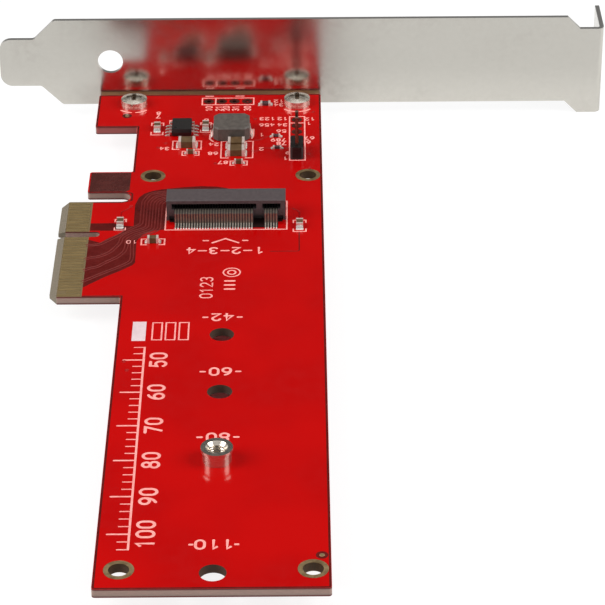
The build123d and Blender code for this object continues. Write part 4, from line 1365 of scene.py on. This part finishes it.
@dataclass
class WhitePrint:
    """The white print: part outlines, plain numbers, a length scale and plain marks.

    Attributes:
        levels: The levels on the board.
        axis: The module's middle line, X.
        datum: The module edge's Y, where the length scale starts.
        line: The width of an outline.
        bold: The width of a bold line.
        mark: The width of the marks in front of the socket.
        small_size: The height and pen width of the small numbers.
        turned_size: The same for the turned numbers.
        module_size: The same for the module lengths.
        scale_size: The same for the length scale's numbers.
        socket_size: The same for the numbers in front of the socket.
        column_size: The same for the column of digits.
        screw_arcs: The first and last angle of the arcs round a bracket screw.
        screw_reach: Their radius.
        chip_outlines: Each chip part's middle, half its outline's length and width, and whether it lies along Y.
        modules: Each module length, and how far its number stands from its hole.
        scale_x: The length scale's line, X.
        scale_marks: The length scale's first and last mark, and the distance between two.
        small_rows: The small plain numbers beside the parts, each with its middle.
        turned_numbers: The turned numbers under the row of four holes, each with its X.
        row_dashes: The dashes behind that row, each from X to X.
        patch: The outline of the solid white rectangle that is left for a date or a tick.
    """

    levels: BoardLevels
    axis: float = 30.66
    datum: float = 7.0
    line: float = 0.26
    bold: float = 0.36
    mark: float = 0.4
    small_size: Point = (1.1, 0.25)
    turned_size: Point = (1.2, 0.26)
    module_size: Point = (2.2, 0.44)
    scale_size: Point = (2.6, 0.5)
    socket_size: Point = (2.1, 0.42)
    column_size: Point = (2.1, 0.28)
    screw_arcs: tuple[Span, ...] = ((226, 262), (278, 314))
    screw_reach: float = 3.55
    chip_outlines: tuple[tuple[float, float, float, float, bool], ...] = (
        (22.5, 34.55, 2.75, 1.7, False), (32.2, 32.6, 3.05, 3.4, False), (32.6, 27.1, 1.6, 0.85, False),
        (23.3, 31.2, 1.6, 0.85, False), (25.95, 41.9, 2.0, 1.0, True), (16.5, 41.4, 2.5, 1.15, True),
        (44.15, 2.65, 2.1, 1.15, True), (11.22, 3.5, 2.0, 1.0, True), (17.5, -2.9, 2.1, 1.05, False),
    )
    modules: tuple[tuple[int, float], ...] = ((42, 5.7), (60, 6.2), (80, 6.5), (110, 7.2))
    scale_x: float = 17.6
    scale_marks: tuple[int, int, int] = (46, 104, 2)
    small_rows: tuple[tuple[str, float, float], ...] = (
        ("123", 37.95, 45.45), ("12", 40.95, 45.45), ("456", 37.9, 42.8), ("34", 40.95, 42.8), ("56", 40.75, 40.2),
        ("1", 36.9, 38.7), ("789", 40.2, 36.5), ("78", 40.75, 34.95), ("2", 36.9, 32.8), ("9", 42.0, 31.2),
        ("12", 46.3, 45.2), ("1", 46.1, 43.3), ("67", 46.2, 37.2), ("6", 46.0, 35.5), ("1", 41.5, 28.9),
        ("12", 40.2, 53.0), ("34", 40.2, 51.4), ("24", 27.7, 34.8), ("68", 27.6, 31.1),
        ("10", 13.6, -2.9), ("34", 18.2, 33.2), ("6", 26.0, 45.0), ("87", 29.6, 27.4), ("7", 16.5, 46.6),
        ("8", 16.5, 48.1),
    )
    turned_numbers: tuple[tuple[str, float], ...] = (
        ("10", 26.4), ("21", 28.35), ("20", 29.8), ("31", 31.65), ("30", 34.0),
    )
    row_dashes: tuple[Span, ...] = ((25.7, 26.3), (26.6, 27.1), (31.7, 32.3), (32.6, 33.2))
    patch: Line = ((15.22, -36.93), (17.57, -36.93), (17.57, -30.69), (15.22, -30.69))

    def ink(self, path: Line | np.ndarray, width: float, closed: bool = False) -> Surface:
        """One line of ink on the upper face."""
        return stroke(np.array(path, float), width, self.levels.ink, self.levels.half, closed)

    def dash(self, x0: float, x1: float, y: float, width: float) -> Surface:
        """A straight line along X."""
        return self.ink([(x0, y), (x1, y)], width)

    def box(self, x0: float, x1: float, y0: float, y1: float) -> Surface:
        """A rectangle of thin lines between two X and two Y."""
        return self.ink([(x0, y0), (x1, y0), (x1, y1), (x0, y1)], self.line, closed=True)

    def brackets(self, x: float, y: float, along: float, across: float, turned_part: bool) -> list[Surface]:
        """The two facing brackets round a chip part.

        Args:
            x: The part's middle X.
            y: The part's middle Y.
            along: Half the outline's length.
            across: Half the outline's width.
            turned_part: Whether the part lies along Y.

        Returns:
            The ink of both brackets.
        """
        inner = along - along * 0.45
        inks = []
        for side in (-1, 1):
            line = np.array([(side * inner, across), (side * along, across), (side * along, -across),
                             (side * inner, -across)])
            inks.append(self.ink((line[:, ::-1] if turned_part else line) + np.array([x, y]), self.line))
        return inks

    def number(self, text: str, x: float, y: float, height: float, width: float, turn: int = 180) -> list[Surface]:
        """A plain number centred on a place.

        Args:
            text: The digits.
            x: The middle X.
            y: The middle Y.
            height: The digits' height.
            width: The pen's width.
            turn: The angle that the number is turned by, in degrees.

        Returns:
            The ink.
        """
        digits = PlainDigits()
        advance = digits.WIDTH + digits.SPACE
        start = -(advance * len(text) - digits.SPACE) / 2
        a = math.radians(turn)
        spin = np.array([(math.cos(a), math.sin(a)), (-math.sin(a), math.cos(a))])
        inks = []
        for rank, digit in enumerate(text):
            for path, closed in digits.strokes(digit):
                placed = (path + np.array([start + rank * advance, -0.5])) * height @ spin + np.array([x, y])
                inks.append(self.ink(placed, width, closed))
        return inks

    def part_outlines(self) -> list[Surface]:
        """The outlines round the soldered parts, the headers and the bracket screws.

        Returns:
            The ink.
        """
        half = 11.15
        inks = [
            self.box(self.axis - half, self.axis + half, 1.42, 12.0),
            self.box(25.0, 35.24, 51.62, 54.53),
            self.ink([(27.67, 51.62), (27.67, 54.53)], self.line),
            self.box(42.35, 45.3, 28.1, 46.3),
            self.dash(42.35, 45.3, 43.55, self.line),
            self.ink([(18.9, 43.5), (18.9, 44.9), (21.0, 44.9)], self.bold),
            self.ink([(27.0, 41.6), (26.9, 43.4), (28.2, 43.4)], self.line),
            self.ink([(35.3, 41.0), (35.3, 38.6), (35.0, 37.2)], self.bold),
            self.ink([(26.9, 38.9), (26.9, 37.0), (27.5, 36.0)], self.bold),
        ]
        reach = self.screw_reach
        inks += [self.ink(arc(*centre, reach, reach, start, end, 16), self.bold)
                 for centre in SCREW_PLACES for start, end in self.screw_arcs]
        for outline in self.chip_outlines:
            inks += self.brackets(*outline)
        return inks

    def module_numbers(self) -> list[Surface]:
        """The module lengths beside their holes, read from the far end, with a dash at each side.

        Returns:
            The ink.
        """
        inks = []
        outer = 3.3
        for length, gap in self.modules:
            text = str(length)
            inner = 1.05 * len(text) + 0.55
            y = self.datum - length + gap
            inks += self.number(text, self.axis, y, *self.module_size)
            inks += [self.dash(self.axis + side * inner, self.axis + side * outer, y, self.module_size[1])
                     for side in (-1, 1)]
        return inks

    def length_scale(self) -> list[Surface]:
        """A scale of millimetres along the board, with a number at each ten.

        Returns:
            The ink.
        """
        x = self.scale_x
        first, last, every = self.scale_marks
        inks = [self.ink([(x, self.datum - first), (x, self.datum - last)], self.bold)]
        for mark in range(first, last + 1, every):
            y = self.datum - mark
            reach, width = (1.7, self.line) if mark % 10 else (3.4, self.bold)
            inks.append(self.dash(x, x - reach, y, width))
            if mark % 10 == 0:
                inks += self.number(str(mark), x + 2.5, y, *self.scale_size, turn=90)
        return inks

    def plain_marks(self) -> list[Surface]:
        """Small plain numbers at the parts, and plain marks where labels would stand.

        Returns:
            The ink.
        """
        inks = []
        for text, x, y in self.small_rows:
            inks += self.number(text, x, y, *self.small_size)
        for text, x in self.turned_numbers:
            inks += self.number(text, x, 50.0, *self.turned_size, turn=90)
        inks += [self.dash(x0, x1, 55.4, self.bold) for x0, x1 in self.row_dashes]
        row, apart = -6.25, 4.1
        for rank in range(4):
            inks += self.number(str(4 - rank), 24.5 + apart * rank, row, *self.socket_size)
        inks += [self.dash(25.9 + apart * rank, 27.2 + apart * rank, row, self.mark) for rank in range(3)]
        inks.append(self.ink([(28.3, -3.4), (self.axis, -1.9), (33.0, -3.4)], self.mark))
        inks += [self.dash(self.axis + side * 3.2, self.axis + side * 4.0, -2.6, self.mark) for side in (-1, 1)]
        for radius, width, steps in ((1.5, self.line, 32), (0.7, 0.3, 20)):
            inks.append(self.ink(arc(32.0, -14.0, radius, radius, 0, 360, steps)[:-1], width, closed=True))
        for rank, digit in enumerate("3210"):
            inks += self.number(digit, 27.6, -16.4 - 1.9 * rank, *self.column_size, turn=90)
        inks += [self.dash(30.9, 32.5, -17.0 - 1.4 * rank, 0.5) for rank in range(3)]
        inks += [self.box(18.7 + 2.3 * rank, 20.3 + 2.3 * rank, -36.6, -31.0) for rank in range(3)]
        return inks

    def dress(self, finishes: Finishes) -> None:
        """Make the pieces.

        Args:
            finishes: The card's materials.
        """
        for name, inks in (("print_outlines", self.part_outlines()), ("print_numbers", self.module_numbers()),
                           ("print_length_scale", self.length_scale()), ("print_marks", self.plain_marks())):
            finishes.add(name, gather(inks), "pink_print")
        finishes.add("print_patch", self.levels.flat(self.patch, self.levels.ink), "white_patch")


@dataclass
class CircuitBoard:
    """The board with its plating, etched copper and print.

    Attributes:
        levels: The levels on the board.
        pitch: The distance between two pin holes.
        ring: The inner and outer radius of an empty pin hole's ring.
        wall: The radius of its lining's outside.
        proud: How far the ring stands off the board.
    """

    levels: BoardLevels
    pitch: float = 2.54
    ring: Span = (0.44, 1.05)
    wall: float = 0.499
    proud: float = 0.03

    def pin_hole_rings(self) -> Surface:
        """The linings and rings of the empty pin holes.

        Returns:
            The rings of the row of four and of the column of five.
        """
        row = [(30.12 + self.pitch * (i - 1.5), 53.05) for i in range(4)]
        column = [(43.76, 29.65 + self.pitch * i) for i in range(2, 7)]
        (inner, outer), top = self.ring, self.levels.half
        rim = top + self.proud
        profile = np.array([(inner, -rim), (outer, -rim), (outer, -top), (self.wall, -top), (self.wall, top),
                            (outer, top), (outer, rim), (inner, rim)])
        return gather([turned(place, profile, 20, closed=True) for place in row + column])

    def dress(self, finishes: Finishes) -> None:
        """Finish the board's nodes and add its own pieces.

        Args:
            finishes: The card's materials.
        """
        finishes.dress("red_solder_mask", "circuit_board")
        finishes.dress("edge_contact_gold", "edge_contacts_upper", "edge_contacts_lower")
        finishes.dress("plated_hole", "mounting_hole_plating")
        finishes.add("pin_hole_rings", self.pin_hole_rings(), "dull_pin_ring", Slot.RINGS)
        EtchedCopper(self.levels).dress(finishes)
        WhitePrint(self.levels).dress(finishes)


@dataclass
class ModuleSocket:
    """The module socket's finishes and solder.

    Attributes:
        levels: The levels on the board.
        toe_width: The width of the fillet at a spring's toe.
        toe_rise: Its height.
        toe_run: How far it reaches out.
    """

    levels: BoardLevels
    toe_width: float = 0.2
    toe_rise: float = 0.1
    toe_run: float = 0.22

    def foot_solder(self) -> Surface:
        """A small fillet at the toe of each spring foot.

        Returns:
            The fillets.
        """
        parts = []
        for node, way in (("m2_lower_contacts", -1), ("m2_upper_contacts", 1)):
            for low, high in islands(node):
                toe = low[1] if way < 0 else high[1]
                parts.append(solder_wedge(((low[0] + high[0]) / 2, toe), (0, way), self.toe_width, self.toe_rise,
                                          self.toe_run, self.levels.half))
        return gather(parts)

    def dress(self, finishes: Finishes) -> None:
        """Finish the socket's nodes.

        Args:
            finishes: The card's materials.
        """
        finishes.dress("socket_moulding", "m2_socket_housing")
        finishes.dress("flashed_spring_metal", "m2_lower_contacts", "m2_upper_contacts")
        finishes.dress("matt_tin", "m2_hold_downs")
        finishes.add("socket_foot_solder", self.foot_solder(), "bright_solder", Slot.SOLDER)


@dataclass
class SlotBracket:
    """The bracket and its two screws.

    Attributes:
        root: The radius that the thread stands on.
        ridge: How far the thread stands out.
        pitch: The thread's pitch.
        under_lug: The level of the lug's underside.
    """

    root: float = 1.44
    ridge: float = 0.1
    pitch: float = 0.5
    under_lug: float = -1.645

    def screw_threads(self) -> Surface:
        """The threads on the tips that show under the lugs.

        Returns:
            Both threads.
        """
        parts = []
        for low, high in islands("bracket_screws"):
            centre = ((low[0] + high[0]) / 2, (low[1] + high[1]) / 2)
            parts.append(helix_ridge(centre, self.root, self.ridge, self.pitch, low[2], self.under_lug))
        return gather(parts)

    def dress(self, finishes: Finishes) -> None:
        """Finish the bracket and screws.

        Args:
            finishes: The card's materials.
        """
        finishes.dress("plated_bracket_sheet", "bracket")
        finishes.dress("bright_screw_plating", "bracket_screws")
        finishes.add("screw_threads", self.screw_threads(), "bright_screw_plating", Slot.SCREWS)


@dataclass
class ModuleStandoff:
    """The standoff with its thread, and its nut.

    Attributes:
        root: The radius that the thread stands on.
        reach: How far the thread stands in.
        pitch: The thread's pitch.
        mouth: The depth of the flared mouth.
    """

    root: float = 1.26
    reach: float = -0.14
    pitch: float = 0.5
    mouth: float = 0.55

    def bore_thread(self) -> Surface:
        """The ridge that winds down the bore.

        Returns:
            The ridge.
        """
        low, high = (np.array(corner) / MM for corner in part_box("standoff"))
        centre = ((low[0] + high[0]) / 2, (low[1] + high[1]) / 2)
        return helix_ridge(centre, self.root, self.reach, self.pitch, low[2], high[2] - self.mouth)

    def dress(self, finishes: Finishes) -> None:
        """Finish the standoff and nut."""
        finishes.dress("turned_nickel", "standoff", "standoff_nut")
        finishes.add("standoff_thread", self.bore_thread(), "turned_nickel", Slot.STANDOFF)


@dataclass
class SolderedParts:
    """The regulator, inductor, chip parts and header, with their solder.

    Attributes:
        levels: The levels on the board.
        terminals: The nodes of the chip parts' plated ends.
        climb: How much of a plated end's height its fillet covers.
        lead_fillets: The nodes of the leads, each with its fillet's height and how far that reaches out.
    """

    levels: BoardLevels
    terminals: tuple[str, ...] = ("large_capacitor_terminals", "small_capacitor_terminals", "resistor_terminals")
    climb: float = 0.62
    lead_fillets: tuple[tuple[str, float, float], ...] = (
        ("regulator_leads", 0.16, 0.3), ("inductor_terminals", 0.8, 0.5),
    )

    def chip_solder(self) -> Surface:
        """A fillet at the outer face of each chip terminal.

        Two terminals of one chip lie nearer to each other than to any other, so each one's fillet
        points away from its nearest neighbour.

        Returns:
            The fillets.
        """
        parts = []
        for node in self.terminals:
            boxes = islands(node)
            middles = np.array([(low + high)[:2] / 2 for low, high in boxes])
            for rank, (low, high) in enumerate(boxes):
                apart = np.linalg.norm(middles - middles[rank], axis=1)
                apart[rank] = np.inf
                away = middles[rank] - middles[np.argmin(apart)]
                axis = int(np.argmax(np.abs(away)))
                way = math.copysign(1.0, away[axis])
                direction = (way, 0.0) if axis == 0 else (0.0, way)
                foot = middles[rank].copy()
                foot[axis] = (high if way > 0 else low)[axis]
                width = (high - low)[1 - axis]
                rise = self.climb * (high - low)[2]
                parts.append(solder_wedge(tuple(foot), direction, width, rise, 0.42 + 0.1 * rise, self.levels.half))
        return gather(parts)

    def lead_solder(self) -> Surface:
        """A fillet at the toe of each regulator lead and each inductor terminal.

        Returns:
            The fillets.
        """
        parts = []
        for node, rise, run in self.lead_fillets:
            low_all, high_all = (np.array(corner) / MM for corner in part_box(node))
            middle = (low_all[0] + high_all[0]) / 2
            for low, high in islands(node):
                way = 1.0 if low[0] > middle else -1.0
                toe = (high[0] if way > 0 else low[0], (low[1] + high[1]) / 2)
                parts.append(solder_wedge(toe, (way, 0.0), high[1] - low[1], rise, run, self.levels.half))
        return gather(parts)

    def dress(self, finishes: Finishes) -> None:
        """Finish the parts.

        Args:
            finishes: The card's materials.
        """
        finishes.dress("regulator_moulding", "regulator_body")
        finishes.dress("matt_tin", "regulator_leads", "inductor_terminals")
        finishes.dress("ferrite_powder", "inductor_core")
        finishes.dress("fired_capacitor", "large_capacitor_bodies", "small_capacitor_bodies")
        finishes.dress("glazed_resistor", "resistor_bodies")
        finishes.dress("dull_terminal", *self.terminals)
        finishes.dress("header_moulding", "header_block")
        finishes.dress("flashed_pin", "header_pins")
        finishes.dress("bright_solder", "header_solder")
        finishes.add("chip_solder", self.chip_solder(), "bright_solder", Slot.SOLDER)
        finishes.add("lead_solder", self.lead_solder(), "bright_solder", Slot.SOLDER)


# The studio

@dataclass
class Studio:
    """The camera, lamps, surroundings and floor.

    Attributes:
        camera_at: The camera's place, in metres.
        aim: The direction that it looks in.
        up: The picture's upward direction.
        focal_pixels: The focal length in pixels of the photograph.
        picture_width: The photograph's width in pixels.
        sensor: The camera sensor's width, in millimetres.
        lamp_size: A soft box's width and height, in metres.
        lamp_power: A soft box's power, in watts.
        lamp_aim: What the soft boxes face, in metres.
        low_glow: The upward slopes between which the horizon's glow fades, in reflections.
        high_glow: The upward slopes between which the ceiling's glow sets in, in reflections.
        ceiling: The ceiling's share of the horizon's glow.
        mirrored: The darkest and brightest strength of the surroundings, in reflections.
        fill: The strength of the surroundings as a soft fill.
        floor_tones: The floor's darkest and lightest grey.
        shaded: The middle X and Y of the floor zone that keeps its shade, in millimetres.
        shaded_x: The distances from the middle X between which the camera's white sets in.
        shaded_y: The distances from the middle Y between which it sets in.
        white_seen: The share of the camera's white.
        white_mirrored: The share of the white, in reflections.
        plate_y: The Y between which the reflected white brightens towards the plate.
        glow_mirrored: The reflected white's strength far from the plate and near it.
        glow_seen: The strength of the camera's white.
        floor_gap: How far the floor lies under the card, in metres.
        floor_reach: Half the floor's side, in metres.
    """

    camera_at: Rgb = (0.04378, -0.43468, 0.248475)
    aim: Rgb = (0.0016, 0.8560, -0.5170)
    up: Rgb = (0.0069, 0.5169, 0.8560)
    focal_pixels: float = 2740.0
    picture_width: float = 605.0
    sensor: float = 36.0
    lamp_size: Point = (0.5, 0.6)
    lamp_power: float = 5.2
    lamp_aim: Rgb = (0.03, -0.01, 0.0)
    low_glow: Span = (0.42, 0.08)
    high_glow: Span = (0.68, 0.86)
    ceiling: float = 0.8
    mirrored: Span = (0.035, 0.95)
    fill: float = 0.42
    floor_tones: Span = (0.86, 0.9)
    shaded: Point = (30.0, -37.0)
    shaded_x: Span = (12.0, 16.0)
    shaded_y: Span = (44.0, 50.0)
    white_seen: float = 0.8
    white_mirrored: float = 0.45
    plate_y: Span = (32.0, 53.0)
    glow_mirrored: Span = (0.66, 1.0)
    glow_seen: float = 1.08
    floor_gap: float = 0.0001
    floor_reach: float = 4.0

    def camera(self) -> None:
        """Set the camera as the photograph was taken."""
        data = bpy.data.cameras.new("photo_camera")
        data.sensor_width = self.sensor
        data.sensor_fit = "HORIZONTAL"
        data.lens = self.focal_pixels * self.sensor / self.picture_width
        data.clip_start = 0.01
        data.clip_end = 20.0
        aim = np.array(self.aim) / np.linalg.norm(self.aim)
        right = np.cross(aim, self.up)
        right = right / np.linalg.norm(right)
        bpy.context.scene.camera = self.hang(data, self.camera_at, (right, np.cross(right, aim), -aim))

    def hang(self, data: bpy.types.ID, place: Rgb, axes: tuple[np.ndarray, ...]) -> bpy.types.Object:
        """Put a camera or lamp at its place.

        Args:
            data: The camera or lamp.
            place: Where it hangs, in metres.
            axes: Its own X, Y and Z.

        Returns:
            The object.
        """
        item = bpy.data.objects.new(data.name, data)
        item.matrix_world = Matrix.Translation(place) @ Matrix(np.stack(axes, axis=1).tolist()).to_4x4()
        bpy.context.scene.collection.objects.link(item)
        return item

    def lamp(self, name: str, place: Rgb) -> None:
        """Add a soft box that faces the card.

        Args:
            name: The lamp's name.
            place: Where it hangs, in metres.
        """
        data = bpy.data.lights.new(name, "AREA")
        data.shape = "RECTANGLE"
        data.size, data.size_y = self.lamp_size
        data.energy = self.lamp_power
        facing = np.array(place) - np.array(self.lamp_aim)
        facing = facing / np.linalg.norm(facing)
        side = np.cross((0.0, 0.0, 1.0), facing)
        side = side / np.linalg.norm(side)
        self.hang(data, place, (side, np.cross(facing, side), facing))

    def surroundings(self) -> None:
        """White to the camera; soft fill; to polished surfaces a pale studio with a dark band above eye level."""
        world = bpy.data.worlds.new("studio")
        bpy.context.scene.world = world
        world.use_nodes = True
        world.node_tree.nodes.clear()
        graph = Graph(world.node_tree)
        output = graph.node("ShaderNodeOutputWorld")
        path = graph.node("ShaderNodeLightPath").outputs
        height = graph.axes(graph.node("ShaderNodeTexCoord").outputs["Generated"])[2]
        overhead = graph.product(graph.step(height, *self.high_glow), self.ceiling)
        bright = graph.math("MAXIMUM", graph.step(height, *self.low_glow), overhead)
        rest = graph.blend(path[Ray.GLOSSY.value], self.fill, graph.blend(bright, *self.mirrored))
        seen = graph.math("MAXIMUM", path[Ray.CAMERA.value], path[Ray.TRANSMISSION.value])
        background = graph.node("ShaderNodeBackground")
        graph.put(output.inputs["Surface"], graph.fill(background, {
            "Color": (1.0, 1.0, 1.0), "Strength": graph.blend(seen, rest, 1.0)}))

    def white_share(self, graph: Graph, path: bpy.types.NodeOutputs, places: tuple[Socket, ...]) -> Socket:
        """The share of plain white in the floor.

        Args:
            graph: The floor's graph.
            path: The kinds of ray.
            places: The X and Y, in millimetres.

        Returns:
            The share's socket.
        """
        far = [graph.step(graph.math("ABSOLUTE", graph.math("SUBTRACT", place, middle)), *limits)
               for place, middle, limits in zip(places, self.shaded, (self.shaded_x, self.shaded_y))]
        seen = graph.product(path[Ray.CAMERA.value], graph.math("MAXIMUM", *far), self.white_seen)
        shown = graph.math("MAXIMUM", path[Ray.GLOSSY.value], path[Ray.TRANSMISSION.value])
        return graph.math("MAXIMUM", seen, graph.product(shown, self.white_mirrored))

    def floor_finish(self) -> bpy.types.Material:
        """The floor's material.

        To the camera and to reflections it is mostly plain white, with a share of lit surface that keeps
        the shadow. Under the card's middle the camera's white fades away, so that the holes look dark.
        Seen from below the floor is clear, so that the underside shows.

        Returns:
            The material.
        """
        graph = MaterialGraph("white_sweep")
        vector = graph.place()
        tones = [(tone, tone, tone) for tone in self.floor_tones]
        lit = graph.fill(graph.shader, {"Base Color": graph.mix(graph.noise(vector, 0.2, 2.0), *tones),
                                        "Roughness": 0.9, "Specular IOR Level": 0.1})
        path = graph.node("ShaderNodeLightPath").outputs
        x, y, _ = graph.axes(vector)
        glow = graph.blend(graph.step(y, *self.plate_y), *self.glow_mirrored)
        white = graph.fill(graph.node("ShaderNodeEmission"), {
            "Strength": graph.blend(path[Ray.CAMERA.value], glow, self.glow_seen)})
        share = self.white_share(graph, path, (x, y))
        top = graph.fill(graph.node("ShaderNodeMixShader"), {0: share, 1: lit, 2: white})
        from_below = graph.node("ShaderNodeNewGeometry").outputs["Backfacing"]
        clear = graph.node("ShaderNodeBsdfTransparent").outputs[0]
        laid = graph.fill(graph.node("ShaderNodeMixShader"), {0: from_below, 1: top, 2: clear})
        graph.put(graph.output.inputs["Surface"], laid)
        return graph.material

    def floor(self, level: float) -> None:
        """Lay the pale floor just under the card.

        Args:
            level: The card's lowest level, in metres.
        """
        mesh = bpy.data.meshes.new("white_sweep")
        side = self.floor_reach
        corners = ((-side, -side), (side, -side), (side, side), (-side, side))
        mesh.from_pydata([(x, y, level - self.floor_gap) for x, y in corners], [], [(0, 1, 2, 3)])
        mesh.materials.append(self.floor_finish())
        floor = bpy.data.objects.new("white_sweep", mesh)
        bpy.context.scene.collection.objects.link(floor)

    def build(self) -> None:
        """Set up the whole studio, with one soft box at each side."""
        self.camera()
        self.lamp("left_soft_box", (-0.62, -0.12, 0.5))
        self.lamp("right_soft_box", (0.70, -0.12, 0.5))
        self.surroundings()
        self.floor(CAD_BOX[0][2])
        bpy.context.scene.view_settings.view_transform = "Standard"


def main() -> None:
    """Build the studio, then dress each sub-assembly in order."""
    logging.basicConfig(level=logging.INFO, format="%(name)s %(message)s")
    Studio().build()
    finishes = Finishes()
    levels = BoardLevels()
    CircuitBoard(levels).dress(finishes)
    ModuleSocket(levels).dress(finishes)
    SlotBracket().dress(finishes)
    ModuleStandoff().dress(finishes)
    SolderedParts(levels).dress(finishes)


if __name__ == "__main__":
    main()
